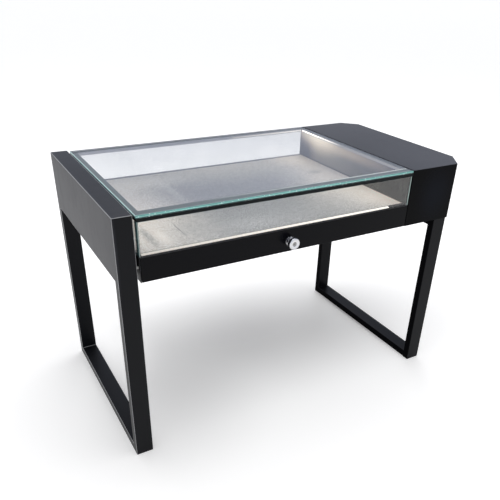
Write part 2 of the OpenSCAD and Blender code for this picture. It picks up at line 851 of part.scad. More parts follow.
// Key plug with its keyway and the square tail for the cam
module lock_plug() {
  keyway_w = 1.4;
  keyway_h = 7;
  keyway_l = 24;
  tail_end_d = 10;
  tail_end_l = 2.5;
  color([0.78, 0.76, 0.7]) placed() difference() {
    union() {
      rod_y(knob_x, knob_z, plug_d, -knob_out, cam_y);
      span([knob_x - tail_w / 2, cam_y, knob_z - tail_w / 2],
           [knob_x + tail_w / 2, cam_y + cam_t, knob_z + tail_w / 2]);
      rod_y(knob_x, knob_z, tail_end_d, cam_y + cam_t, cam_y + cam_t + tail_end_l);
    }
    span([knob_x - keyway_w / 2, -knob_out - cut, knob_z - keyway_h / 2],
         [knob_x + keyway_w / 2, -knob_out + keyway_l, knob_z + keyway_h / 2]);
  }
}

module lock_cam() {
  cam_w = 15;
  color([0.66, 0.67, 0.68]) placed() difference() {
    union() {
      rod_y(knob_x, knob_z, cam_w, cam_y, cam_y + cam_t);
      span([knob_x, cam_y, knob_z - cam_w / 2], [knob_x + cam_l, cam_y + cam_t, knob_z + cam_w / 2]);
    }
    span([knob_x - tail_w / 2, cam_y - cut, knob_z - tail_w / 2],
         [knob_x + tail_w / 2, cam_y + cam_t + cut, knob_z + tail_w / 2]);
  }
}

left_front_leg();
left_rear_leg();
left_side_beam();
left_foot_bar();
right_front_leg();
right_rear_leg();
right_foot_bar();
right_top_bar();
leg_glides();
cabinet_top();
cabinet_wrap();
cabinet_inner_wall();
cabinet_floor();
service_cover();
cover_screws();
led_driver();
terminal_block();
power_inlet();
leg_frame_bolts();
case_left_rail();
case_rear_rail();
case_floor();
lock_strike();
frame_sleeves();
case_bolts();
rail_studs();
gap_bumpers();
right_liner();
top_front_rail();
top_rear_rail();
top_left_rail();
top_right_rail();
glass_top();
left_pane();
rear_pane();
side_light_profile();
side_light_lens();
rear_light_profile();
rear_light_lens();
left_slide_outer();
right_slide_outer();
left_slide_middle();
right_slide_middle();
left_slide_inner();
right_slide_inner();
tray_front();
tray_front_member();
tray_left_side();
tray_right_side();
tray_rear_member();
deck_cross_bars();
display_deck();
pane_channel();
front_pane();
foot_light_profile();
foot_light_lens();
knob_body();
lock_nut();
lock_plug();
lock_cam();
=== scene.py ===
import bmesh
import bpy
import json
from math import atan2, degrees, pi, radians
from mathutils import Matrix, Vector

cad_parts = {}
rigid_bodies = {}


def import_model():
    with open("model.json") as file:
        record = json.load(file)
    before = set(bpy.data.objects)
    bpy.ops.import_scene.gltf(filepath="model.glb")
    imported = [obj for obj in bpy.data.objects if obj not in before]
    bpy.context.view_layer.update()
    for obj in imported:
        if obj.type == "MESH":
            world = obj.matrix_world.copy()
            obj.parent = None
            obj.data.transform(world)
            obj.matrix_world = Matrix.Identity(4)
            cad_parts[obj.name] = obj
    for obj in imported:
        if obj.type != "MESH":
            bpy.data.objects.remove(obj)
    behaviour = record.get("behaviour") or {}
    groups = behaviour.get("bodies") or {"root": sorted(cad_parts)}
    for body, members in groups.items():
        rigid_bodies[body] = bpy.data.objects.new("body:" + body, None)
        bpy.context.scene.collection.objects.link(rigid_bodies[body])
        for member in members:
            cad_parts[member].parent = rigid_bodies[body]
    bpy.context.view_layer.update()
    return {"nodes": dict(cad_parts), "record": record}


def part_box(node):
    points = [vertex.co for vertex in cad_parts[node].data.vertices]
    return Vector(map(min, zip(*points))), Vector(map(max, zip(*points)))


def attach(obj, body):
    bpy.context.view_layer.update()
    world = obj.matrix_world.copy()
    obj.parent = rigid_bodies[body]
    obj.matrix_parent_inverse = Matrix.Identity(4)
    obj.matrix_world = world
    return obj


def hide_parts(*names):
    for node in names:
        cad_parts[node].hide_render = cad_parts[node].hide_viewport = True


# Jewellery showcase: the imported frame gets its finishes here, and the rounded, turned and
# glass pieces are modelled again. All places are in metres, in the frame's own axes.

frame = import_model()
nodes = frame["nodes"]
record = frame["record"]
slotOf = {part["node"]: part["material_slot"] for part in record["subparts"]}
bodyOf = {name: body for body, group in record["behaviour"]["bodies"].items() for name in group}
print("frame loaded:", len(nodes), "nodes")

# The camera, at the photograph's place and with its lens

viewpoint = {
    "place": (-0.9395, -1.5799, 1.2727),
    "right": (0.866, -0.4991, 0.0309),
    "back": (-0.4421, -0.7354, 0.5136),
    "lens": 41.13, "sensor": 36, "shift": (-0.0254, 0.131), "nearest": 0.05, "farthest": 400,
}


def placeCamera(settings):
    lens = bpy.data.cameras.new("studioCamera")
    lens.lens, lens.sensor_width = settings["lens"], settings["sensor"]
    lens.shift_x, lens.shift_y = settings["shift"]
    lens.clip_start, lens.clip_end = settings["nearest"], settings["farthest"]
    camera = bpy.data.objects.new("studioCamera", lens)
    bpy.context.scene.collection.objects.link(camera)
    back = Vector(settings["back"]).normalized()
    right = Vector(settings["right"])
    right = (right - right.dot(back) * back).normalized()
    turn = Matrix((right, back.cross(right), back)).transposed()
    camera.matrix_world = Matrix.Translation(settings["place"]) @ turn.to_4x4()
    bpy.context.scene.camera = camera


placeCamera(viewpoint)

# Modelling helpers

mergeWithin = 1e-6
overshoot = 0.001  # how far a cutting tool sticks out of the piece
squareOn, turnedTo = 0.97, 0.3  # a normal lies along a direction fully, or partly
axisTurns = {"X": (0, pi / 2, 0), "Y": (pi / 2, 0, 0), "Z": (0, 0, 0)}


def deselectAll():
    bpy.ops.object.select_all(action="DESELECT")


def focusOn(piece):
    deselectAll()
    piece.select_set(True)
    bpy.context.view_layer.objects.active = piece


# puts the new primitive's place and size into its mesh
def settle(name):
    piece = bpy.context.object
    piece.name = piece.data.name = name
    bpy.ops.object.transform_apply(location=True, rotation=True, scale=True)
    return piece


def newBlock(name, low, high):
    deselectAll()
    low, high = Vector(low), Vector(high)
    bpy.ops.mesh.primitive_cube_add(size=1, location=(low + high) / 2, scale=high - low)
    return settle(name)


def newRod(name, centre, radius, length, axis, sides=48):
    deselectAll()
    bpy.ops.mesh.primitive_cylinder_add(
        vertices=sides, radius=radius, depth=length, location=centre, rotation=axisTurns[axis]
    )
    return settle(name)


def openEdit(piece, kind="FACE"):
    focusOn(piece)
    bpy.ops.object.mode_set(mode="EDIT")
    bpy.ops.mesh.select_mode(type=kind)
    bpy.ops.mesh.select_all(action="DESELECT")


def closeEdit():
    bpy.ops.object.mode_set(mode="OBJECT")


def turnOutward():
    bpy.ops.mesh.select_all(action="SELECT")
    bpy.ops.mesh.normals_make_consistent(inside=False)


# selects the faces, edges or vertices that pass the test
def pick(piece, test, kind="faces"):
    mesh = bmesh.from_edit_mesh(piece.data)
    for item in getattr(mesh, kind):
        item.select_set(bool(test(item)))
    mesh.select_flush_mode()
    bmesh.update_edit_mesh(piece.data)


def deleteFaces(piece, test):
    pick(piece, test)
    bpy.ops.mesh.delete(type="FACE")


def cutAcross(place, normal, clearOuter=False):
    bpy.ops.mesh.select_all(action="SELECT")
    bpy.ops.mesh.bisect(
        plane_co=place, plane_no=normal, use_fill=clearOuter, clear_outer=clearOuter
    )
    bpy.ops.mesh.select_all(action="DESELECT")


def applyModifier(piece, kind, **settings):
    focusOn(piece)
    modifier = piece.modifiers.new(kind.lower(), kind)
    for name, value in settings.items():
        setattr(modifier, name, value)
    bpy.ops.object.modifier_apply(modifier=modifier.name)


# rounds the sharp edges, and keeps the flat faces flat in the shading
def soften(piece, width, segments=2, angle=30):
    applyModifier(
        piece, "BEVEL", width=width, segments=segments, limit_method="ANGLE",
        angle_limit=radians(angle), use_clamp_overlap=True,
    )
    focusOn(piece)
    bpy.ops.object.shade_smooth()
    applyModifier(piece, "WEIGHTED_NORMAL", weight=80, keep_sharp=False)


# turns the faces of a closed shape that lacks one face into a sheet of the given thickness
def thicken(piece, wall):
    applyModifier(piece, "SOLIDIFY", thickness=wall, offset=-1, use_even_offset=True)


# cuts the tool's shape out of the piece, and removes the tool
def carve(piece, tool):
    applyModifier(piece, "BOOLEAN", operation="DIFFERENCE", solver="EXACT", object=tool)
    bpy.data.objects.remove(tool)


# a copy with a mesh of its own, moved along
def copyBy(piece, move):
    focusOn(piece)
    bpy.ops.object.duplicate()
    bpy.ops.transform.translate(value=move)
    return settle(piece.name)


def joinInto(name, parts):
    deselectAll()
    for part in parts:
        part.select_set(True)
    bpy.context.view_layer.objects.active = parts[0]
    bpy.ops.object.join()
    parts[0].name = parts[0].data.name = name
    return parts[0]


# a turned shape round an axis along Y: a circle is pulled along the profile, ring by ring
def turnShape(name, axisX, axisZ, profile, sides, closed=False):
    deselectAll()
    radius, station = profile[0]
    bpy.ops.mesh.primitive_circle_add(
        vertices=sides, radius=radius, location=(axisX, station, axisZ), rotation=axisTurns["Y"]
    )
    piece = settle(name)
    bpy.ops.object.mode_set(mode="EDIT")
    bpy.ops.mesh.select_mode(type="EDGE")
    bpy.ops.mesh.select_all(action="SELECT")
    if not closed:
        bpy.ops.mesh.edge_face_add()
    for nextRadius, nextStation in profile[1:]:
        bpy.ops.mesh.extrude_region_move(
            TRANSFORM_OT_translate={"value": (0, nextStation - station, 0)}
        )
        grow = nextRadius / radius
        bpy.ops.transform.resize(
            value=(grow, 1, grow), center_override=(axisX, nextStation, axisZ)
        )
        radius, station = nextRadius, nextStation
    bpy.ops.mesh.select_all(action="SELECT")
    bpy.ops.mesh.remove_doubles(threshold=mergeWithin)
    turnOutward()
    closeEdit()
    return piece


def camelName(node):
    first, *rest = node.split("_")
    return first + "".join(word.capitalize() for word in rest)


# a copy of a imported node, merged into flat faces and rounded at its edges
def roundedCopy(name, node, width):
    focusOn(nodes[node])
    bpy.ops.object.duplicate()
    piece = bpy.context.object
    bpy.ops.object.parent_clear(type="CLEAR_KEEP_TRANSFORM")
    bpy.ops.mesh.customdata_custom_splitnormals_clear()
    piece.name = piece.data.name = name
    openEdit(piece)
    bpy.ops.mesh.select_all(action="SELECT")
    bpy.ops.mesh.remove_doubles(threshold=mergeWithin)
    bpy.ops.mesh.dissolve_limited(angle_limit=radians(0.5))
    turnOutward()
    closeEdit()
    soften(piece, width)
    return piece


# a piece takes its finishes, the nodes it stands for, and their body and slot
def fit(piece, replaced, *finishNames, body=None, slot=None):
    slot = slot or slotOf[replaced[0]]
    piece.data.materials.clear()
    for name in finishNames or (slot,):
        piece.data.materials.append(finishes[name])
    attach(piece, body or bodyOf[replaced[0]])
    if replaced:
        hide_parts(*replaced)


# gives each face the material whose number the rule returns
def paintFaces(piece, rule):
    for face in piece.data.polygons:
        face.material_index = rule(face)


# Node helpers: an input is a number, a vector, a colour or the output that feeds it


def feed(tree, node, inputs):
    for name, value in inputs.items():
        if isinstance(value, bpy.types.NodeSocket):
            tree.links.new(value, node.inputs[name])
        else:
            node.inputs[name].default_value = value


def addNode(tree, kind, inputs=None, **settings):
    node = tree.nodes.new("ShaderNode" + kind)
    for name, value in settings.items():
        setattr(node, name, value)
    feed(tree, node, inputs or {})
    return node


def calculate(tree, operation, *values, clamp=False):
    inputs = dict(enumerate(values))
    return addNode(tree, "Math", inputs, operation=operation, use_clamp=clamp).outputs[0]


# source * gain + base
def scaled(tree, source, gain, base=0.0, clamp=False):
    return calculate(tree, "MULTIPLY_ADD", source, gain, base, clamp=clamp)


# low to high becomes start to end
def rescale(tree, source, low, high, start=0.0, end=1.0, **settings):
    inputs = {"Value": source, "From Min": low, "From Max": high, "To Min": start, "To Max": end}
    return addNode(tree, "MapRange", inputs, **settings).outputs[0]


def combine(tree, operation, *vectors):
    return addNode(tree, "VectorMath", dict(enumerate(vectors)), operation=operation).outputs


def axesOf(tree, vector):
    return addNode(tree, "SeparateXYZ", {0: vector}).outputs


def noise(tree, vector, **inputs):
    return addNode(tree, "TexNoise", {"Vector": vector, **inputs}).outputs["Fac"]


# a mix of two colours, each fixed or fed by an output
def mixColors(tree, factor, *pair, **settings):
    first, second = ((*color, 1) if isinstance(color, tuple) else color for color in pair)
    inputs = {"Factor": factor, 6: first, 7: second}
    return addNode(tree, "Mix", inputs, data_type="RGBA", **settings).outputs[2]


socketKinds = {float: "NodeSocketFloat", tuple: "NodeSocketColor", str: "NodeSocketVector"}


# a node group with named sockets: a number is a value, a tuple a colour and "vector" a vector
def newGroup(name, inputs, outputs):
    group = bpy.data.node_groups.new(name, "ShaderNodeTree")
    for side, sockets in (("INPUT", inputs), ("OUTPUT", outputs)):
        for label, start in sockets.items():
            socket = group.interface.new_socket(
                name=label, in_out=side, socket_type=socketKinds[type(start)]
            )
            if side == "INPUT" and not isinstance(start, str):
                socket.default_value = start
    return group, group.nodes.new("NodeGroupInput").outputs, group.nodes.new("NodeGroupOutput")


def placeGroup(tree, group, position, inputs):
    node = tree.nodes.new("ShaderNodeGroup")
    node.node_tree = group
    feed(tree, node, {"Position": position, **inputs})
    return node.outputs


# Effects that several finishes share

plainColor = (0.5, 0.5, 0.5, 1.0)


# fine grain and soft clouds
def makeGrain():
    group, start, end = newGroup(
        "surfaceGrain", {"Position": "vector", "Grain Size": 0.0012, "Cloud Size": 0.12},
        {"Grain": 0.0, "Clouds": 0.0},
    )
    fine = calculate(group, "DIVIDE", 1.0, start["Grain Size"])
    coarse = calculate(group, "DIVIDE", 1.0, start["Cloud Size"])
    feed(group, end, {
        "Grain": noise(group, start["Position"], Scale=fine, Detail=3.0, Roughness=0.6),
        "Clouds": noise(group, start["Position"], Scale=coarse, Detail=4.0, Roughness=0.55,
                        Distortion=0.4),
    })
    return group


# long fine lines along one axis, for brushed and rolled metal
def makeBrushing():
    group, start, end = newGroup(
        "brushedLines", {"Position": "vector", "Stretch": "vector", "Line Size": 0.0008},
        {"Lines": 0.0, "Bands": 0.0},
    )
    stretched = combine(group, "MULTIPLY", start["Position"], start["Stretch"])[0]
    fine = calculate(group, "DIVIDE", 1.0, start["Line Size"])
    coarse = calculate(group, "MULTIPLY", fine, 0.06)
    feed(group, end, {
        "Lines": noise(group, stretched, Scale=fine, Detail=4.0, Roughness=0.7),
        "Bands": noise(group, stretched, Scale=coarse, Detail=2.0, Roughness=0.5),
    })
    return group


# thin dust that settles on faces that look up
def makeDust():
    group, start, end = newGroup(
        "settledDust",
        {"Position": "vector", "Color": plainColor, "Roughness": 0.4, "Amount": 0.05,
         "Dust Color": (0.6, 0.6, 0.58, 1.0)},
        {"Color": plainColor, "Roughness": 0.4},
    )
    facing = addNode(group, "NewGeometry").outputs["Normal"]
    upward = rescale(group, axesOf(group, facing)["Z"], 0.35, 1.0)
    specks = noise(group, start["Position"], Scale=420.0, Detail=5.0, Roughness=0.75)
    specks = rescale(group, specks, 0.52, 0.78)
    paintedLightAndMarks = rescale(group, noise(group, start["Position"], Scale=7.0, Detail=3.0), 0.3, 0.75)
    settled = calculate(group, "MULTIPLY", calculate(group, "MULTIPLY", specks, paintedLightAndMarks), upward)
    amount = calculate(group, "MULTIPLY", settled, start["Amount"], clamp=True)
    rough = {"Factor": amount, 2: start["Roughness"], 3: 0.8}
    feed(group, end, {
        "Color": mixColors(group, amount, start["Color"], start["Dust Color"]),
        "Roughness": addNode(group, "Mix", rough, data_type="FLOAT").outputs[0],
    })
    return group


# rubbed, slightly lighter edges, which carry wear and, where the edge colour is light, a painted
# highlight: the rounded normal is compared with the true one
def makeRubAndHighlightEdges():
    group, start, end = newGroup(
        "rubAndHighlightEdges",
        {"Position": "vector", "Color": plainColor, "Rub And Highlight Color": (0.6, 0.6, 0.6, 1.0),
         "Width": 0.0015, "Amount": 0.3},
        {"Color": plainColor},
    )
    rounded = addNode(group, "Bevel", {"Radius": start["Width"]}, samples=6).outputs[0]
    facing = addNode(group, "NewGeometry").outputs["Normal"]
    edge = rescale(group, combine(group, "DOT_PRODUCT", rounded, facing)["Value"], 0.995, 0.8)
    breaks = noise(group, start["Position"], Scale=60.0, Detail=4.0, Roughness=0.7)
    both = calculate(group, "MULTIPLY", edge, rescale(group, breaks, 0.35, 0.65))
    amount = calculate(group, "MULTIPLY", both, start["Amount"], clamp=True)
    feed(group, end, {"Color": mixColors(group, amount, start["Color"], start["Rub And Highlight Color"])})
    return group


# faint wipe marks and finger smears
def makeSmears():
    group, start, end = newGroup(
        "wipeMarks", {"Position": "vector", "Size": 0.05}, {"Marks": 0.0}
    )
    turned = addNode(group, "Mapping", {
        "Vector": start["Position"], "Rotation": (0.0, 0.0, 0.6), "Scale": (1.0, 3.2, 1.0)})
    scale = calculate(group, "DIVIDE", 1.0, start["Size"])
    wipes = noise(group, turned.outputs[0], Scale=scale, Detail=5.0, Roughness=0.6,
                  Distortion=1.2)
    feed(group, end, {"Marks": rescale(group, wipes, 0.48, 0.72)})
    return group


# a soft round patch about a place, for zones of colour, of painted light and of painted shade that
# fade into each other
def makePatch():
    group, start, end = newGroup(
        "softPatch", {"Position": "vector", "Centre": "vector", "Reach": "vector"}, {"Mask": 0.0}
    )
    away = combine(group, "SUBTRACT", start["Position"], start["Centre"])[0]
    share = combine(group, "DIVIDE", away, start["Reach"])[0]
    length = combine(group, "LENGTH", share)["Value"]
    mask = rescale(group, length, 1.0, 0.0, interpolation_type="SMOOTHSTEP")
    feed(group, end, {"Mask": mask})
    return group


surfaceGrain = makeGrain()
softPatch = makePatch()
brushedLines = makeBrushing()
settledDust = makeDust()
rubAndHighlightEdges = makeRubAndHighlightEdges()
wipeMarks = makeSmears()
print("effect groups made")

# Kinds of finish


def newFinish(name, constants):
    material = bpy.data.materials.new(name)
    material.use_nodes = True
    tree = material.node_tree
    shader = tree.nodes["Principled BSDF"]
    feed(tree, shader, constants)
    return material, tree, shader, addNode(tree, "TexCoord").outputs["Object"]


def addGrain(tree, position, grainSize, cloudSize):
    sizes = {"Grain Size": grainSize, "Cloud Size": cloudSize}
    return placeGroup(tree, surfaceGrain, position, sizes)


def addLines(tree, position, lineSize, stretch):
    return placeGroup(
        tree, brushedLines, position, {"Line Size": lineSize, "Stretch": stretch})["Lines"]


def addSmears(tree, position, size):
    return placeGroup(tree, wipeMarks, position, {"Size": size})["Marks"]


def addMask(tree, position, place, reach):
    return placeGroup(tree, softPatch, position, {"Centre": place, "Reach": reach})["Mask"]


def addBump(tree, shader, height, strength, distance):
    bump = addNode(
        tree, "Bump", {"Height": height, "Strength": strength, "Distance": distance})
    feed(tree, shader, {"Normal": bump.outputs[0]})


# the shader's light passes through the clear surface where the share is 1
def mixInClear(tree, shader, share, clear):
    mix = addNode(tree, "MixShader", {0: share, 1: shader.outputs[0], 2: clear.outputs[0]})
    feed(tree, tree.nodes["Material Output"], {"Surface": mix.outputs[0]})


# lays soft patches of painted light and shade, and a few marks, over a colour, each with its
# place, reach, colour and share
def addPatches(tree, position, color, paintedLightAndMarks):
    for place, reach, patchColor, share in paintedLightAndMarks:
        mask = addMask(tree, position, place, reach)
        color = mixColors(tree, scaled(tree, mask, share, clamp=True), color, patchColor)
    return color


# patches on a flat face: the level is the face's place along the axis that it looks along
def patchesOn(axis, level, rows):
    paintedLightAndMarks = []
    for place, reach, color, share in rows:
        centre = (*place[:axis], level, *place[axis:])
        paintedLightAndMarks.append((centre, (*reach[:axis], 1, *reach[axis:]), color, share))
    return paintedLightAndMarks


# bands of colour along a value from 0 to 1
def addBands(tree, source, bands):
    ramp = addNode(tree, "ValToRGB", {"Fac": source})
    stops = ramp.color_ramp.elements
    stops[0].position, stops[0].color = bands[0][0], (*bands[0][1], 1)
    stops[1].position, stops[1].color = bands[-1][0], (*bands[-1][1], 1)
    for place, color in bands[1:-1]:
        stops.new(place).color = (*color, 1)
    return ramp.outputs["Color"]


# rubbed edges (wear, and a painted highlight where the edge colour is light) and dust over a
# colour and a roughness
def weather(tree, shader, position, color, rough, look):
    edges = placeGroup(tree, rubAndHighlightEdges, position, {
        "Color": color, "Rub And Highlight Color": (*look["worn"], 1), "Width": look["edgeWidth"],
        "Amount": look["wear"]})
    dusty = placeGroup(tree, settledDust, position, {
        "Color": edges["Color"], "Roughness": rough, "Amount": look["dust"]})
    feed(tree, shader, {"Base Color": dusty["Color"], "Roughness": dusty["Roughness"]})


alongX, alongY, evenly = (0.03, 1.0, 1.0), (1.0, 0.03, 1.0), (1.0, 1.0, 1.0)
coatBasis = {
    "edgeWidth": 0.0012, "smudge": 0.05, "paintedLightAndMarks": (),
    "uneven": 0.12, "lowered": 0.06,  # the clouds add to the roughness, which starts lower
}
metalBasis = {"line": 0.0006, "stretch": alongY, "edgeWidth": 0.0008, "wear": 0.5,
              "dust": 0.1, "smearSize": 0.05, "marks": 0.06}


# paint and powder coat: grain, clouds, smudges, soft patches of painted light, rubbed edges with
# wear and painted highlight, and dust
def makeCoat(name, look):
    look = {**coatBasis, **look}
    material, tree, shader, position = newFinish(name, {"Specular IOR Level": look["shine"]})
    grain = addGrain(tree, position, look["grain"], cloudSize=0.16)
    shade = mixColors(tree, grain["Clouds"], look["dark"], look["light"])
    clouds = scaled(tree, grain["Clouds"], look["uneven"], look["rough"] - look["lowered"])
    rough = scaled(tree, addSmears(tree, position, size=0.11), look["smudge"], clouds)
    shade = addPatches(tree, position, shade, look["paintedLightAndMarks"])
    weather(tree, shader, position, shade, rough, look)
    addBump(tree, shader, grain["Grain"], look["bump"], distance=0.0002)
    return material


# brushed, rolled or plated metal
def makeMetal(name, look):
    look = {**metalBasis, "worn": look["light"], **look}
    material, tree, shader, position = newFinish(name, {"Metallic": 1.0})
    lines = placeGroup(
        tree, brushedLines, position, {"Line Size": look["line"], "Stretch": look["stretch"]})
    shade = mixColors(tree, lines["Lines"], look["dark"], look["light"])
    bands = scaled(tree, lines["Bands"], look["roughSpread"], look["rough"])
    rough = scaled(tree, addSmears(tree, position, look["smearSize"]), look["marks"], bands)
    weather(tree, shader, position, shade, rough, look)
    addBump(tree, shader, lines["Lines"], look["bump"], distance=0.0001)
    return material


# moulded plastic
def makePlastic(name, look):
    return makeCoat(name, {"grain": 0.0006, "worn": look["light"], "wear": 0.4, "dust": 0.15,
                           "bump": 0.25, "shine": 0.4, **look})


# the satin sheet of the deck and the lining: fine brushing, soft patches of painted light and
# shade, wipe marks, and a glow painted where the lamps' light falls
def makeSheet(name, look):
    material, tree, shader, position = newFinish(name, {
        "Metallic": look["metal"], "Specular IOR Level": look["shine"], "Emission Strength": 1})
    grain = addGrain(tree, position, look["grain"], cloudSize=0.22)
    smears = addSmears(tree, position, look["smearSize"])
    zone = addMask(tree, position, look["smearAt"], look["smearReach"])
    shade = mixColors(tree, grain["Clouds"], look["dark"], look["light"])
    shade = addPatches(tree, position, shade, look["paintedLightAndMarks"])
    specks = scaled(tree, grain["Grain"], gain=5.0, base=-2.0, clamp=True)
    shade = mixColors(tree, look["speckle"], shade, specks, blend_type="OVERLAY")
    # the wipe marks take a lighter colour of their own: partly marks, partly a painted sheen
    marked = calculate(tree, "MULTIPLY", smears, zone)
    markShare = scaled(tree, marked, look["marks"], clamp=True)
    shade = mixColors(tree, markShare, shade, look["mark"])
    rough = scaled(tree, smears, gain=0.08, base=look["rough"])
    weather(tree, shader, position, shade, rough, look)
    # the sheet glows where the glow patches lie, though it is no lamp: painted light
    unlit = addNode(tree, "RGB").outputs[0]
    unlit.default_value = (0, 0, 0, 1)
    feed(tree, shader, {"Emission Color": addPatches(tree, position, unlit, look["pools"])})
    lines = addLines(tree, position, lineSize=0.0007, stretch=alongX)
    height = calculate(tree, "ADD", grain["Grain"], lines)
    addBump(tree, shader, height, look["bump"], distance=0.00015)
    return material


# clear glass, with a little green in its depth; lamps shine through it
def makeGlass(name, look):
    material, tree, shader, position = newFinish(name, {"Transmission Weight": 1.0, "IOR": 1.5})
    grain = addGrain(tree, position, grainSize=0.001, cloudSize=0.14)
    clouds = rescale(tree, grain["Clouds"], low=0.35, high=0.65)
    feed(tree, shader, {
        "Base Color": mixColors(tree, clouds, look["tint"], look["clear"]),
        "Roughness": scaled(tree, addSmears(tree, position, size=0.07), look["smear"]),
    })
    through = addNode(tree, "BsdfTransparent", {"Color": (0.94, 0.96, 0.95, 1)})
    rays = addNode(tree, "LightPath").outputs
    lamps = calculate(tree, "MAXIMUM", rays["Is Shadow Ray"], rays["Is Diffuse Ray"])
    mixInClear(tree, shader, lamps, through)
    return material


# the ground edge of a pane, which shows the green of the glass: its glow and its bands over the
# thickness are painted light, with painted highlight lines and painted shade
def makeGlassEdge(name, look):
    material, tree, shader, position = newFinish(name, {
        "Specular IOR Level": look.get("shine", 0.5), "Coat Weight": look["coat"],
        "Coat Roughness": 0.05, "Emission Strength": look["glow"]})
    grain = addGrain(tree, position, grainSize=0.0009, cloudSize=0.05)["Grain"]
    lines = addLines(tree, position, lineSize=0.004, stretch=look["stretch"])
    streaks = scaled(tree, lines, gain=2.4, base=-0.7, clamp=True)
    levels = mixColors(tree, streaks, (0.55, 0.55, 0.55), (1.35, 1.35, 1.35))
    across = rescale(tree, axesOf(tree, position)[look["across"]], *look["span"])
    bands = addBands(tree, across, look["bands"])
    shade = mixColors(tree, 0.75, bands, levels, blend_type="MULTIPLY")
    chips = noise(tree, position, Scale=320.0, Detail=2.0)
    chips = rescale(tree, chips, look["chips"], look["chips"] + 0.03)
    shade = mixColors(tree, chips, shade, (0.9, 0.97, 0.96))
    feed(tree, shader, {"Base Color": shade, "Emission Color": shade,
                        "Roughness": scaled(tree, grain, gain=0.3, base=0.1)})
    addBump(tree, shader, grain, strength=0.15, distance=0.0002)
    return material


# the grey bonding tape on a border rail, in bands that change along the rail: its bright line is a
# painted highlight, its darkest bands painted shadow, and the change along the rail painted light
def makeTape(name, look):
    material, tree, shader, position = newFinish(name, {"Specular IOR Level": 0.25})
    grain = addGrain(tree, position, grainSize=0.0008, cloudSize=0.04)
    lines = addLines(tree, position, lineSize=0.003, stretch=evenly)
    axes = axesOf(tree, position)
    across = rescale(tree, axes[look["across"]], *look["span"])
    near = addBands(tree, across, look["bands"])
    far = addBands(tree, across, look.get("farBands", look["bands"]))
    shade = mixColors(tree, rescale(tree, axes[look["along"]], *look["alongSpan"]), near, far)
    clouds = mixColors(tree, grain["Clouds"], (0.8, 0.8, 0.8), (1.15, 1.15, 1.15))
    feed(tree, shader, {
        "Base Color": mixColors(tree, 1, shade, clouds, blend_type="MULTIPLY"),
        "Roughness": scaled(tree, lines, gain=0.2, base=0.4),
    })
    addBump(tree, shader, grain["Grain"], strength=0.15, distance=0.0001)
    return material


ledPitch = 0.0125


# opal lens over a strip of lights: brighter in its middle, with faint dots along it
def makeLens(name, look):
    material, tree, shader, position = newFinish(name, {
        "Base Color": (0.45, 0.44, 0.42, 1), "Specular IOR Level": 0.4,
        "Emission Strength": look["glow"]})
    axes = axesOf(tree, position)
    grain = addGrain(tree, position, grainSize=0.0008, cloudSize=0.05)["Grain"]
    wave = calculate(tree, "SINE", scaled(tree, axes[look["along"]], 2 * pi / ledPitch))
    fade = rescale(tree, axes[look["along"]], look["dim"], look["bright"], look["least"])
    dots = scaled(tree, wave, gain=0.06, base=0.94)
    level = calculate(tree, "MULTIPLY", fade, dots)
    away = calculate(tree, "SUBTRACT", axes[look["across"]], look["middle"])
    away = calculate(tree, "ABSOLUTE", away)
    half = look["half"]
    slim = rescale(tree, away, low=half * 1.25, high=half * 0.75, start=0.04)
    glow = mixColors(tree, fade, look["farColor"], look["color"])
    line = calculate(tree, "MULTIPLY", slim, level)
    feed(tree, shader, {"Emission Color": mixColors(tree, line, (0, 0, 0), glow),
                        "Roughness": scaled(tree, grain, gain=0.2, base=0.3)})
    addBump(tree, shader, grain, strength=0.1, distance=0.0001)
    return material


# Finishes of the coated and metal pieces

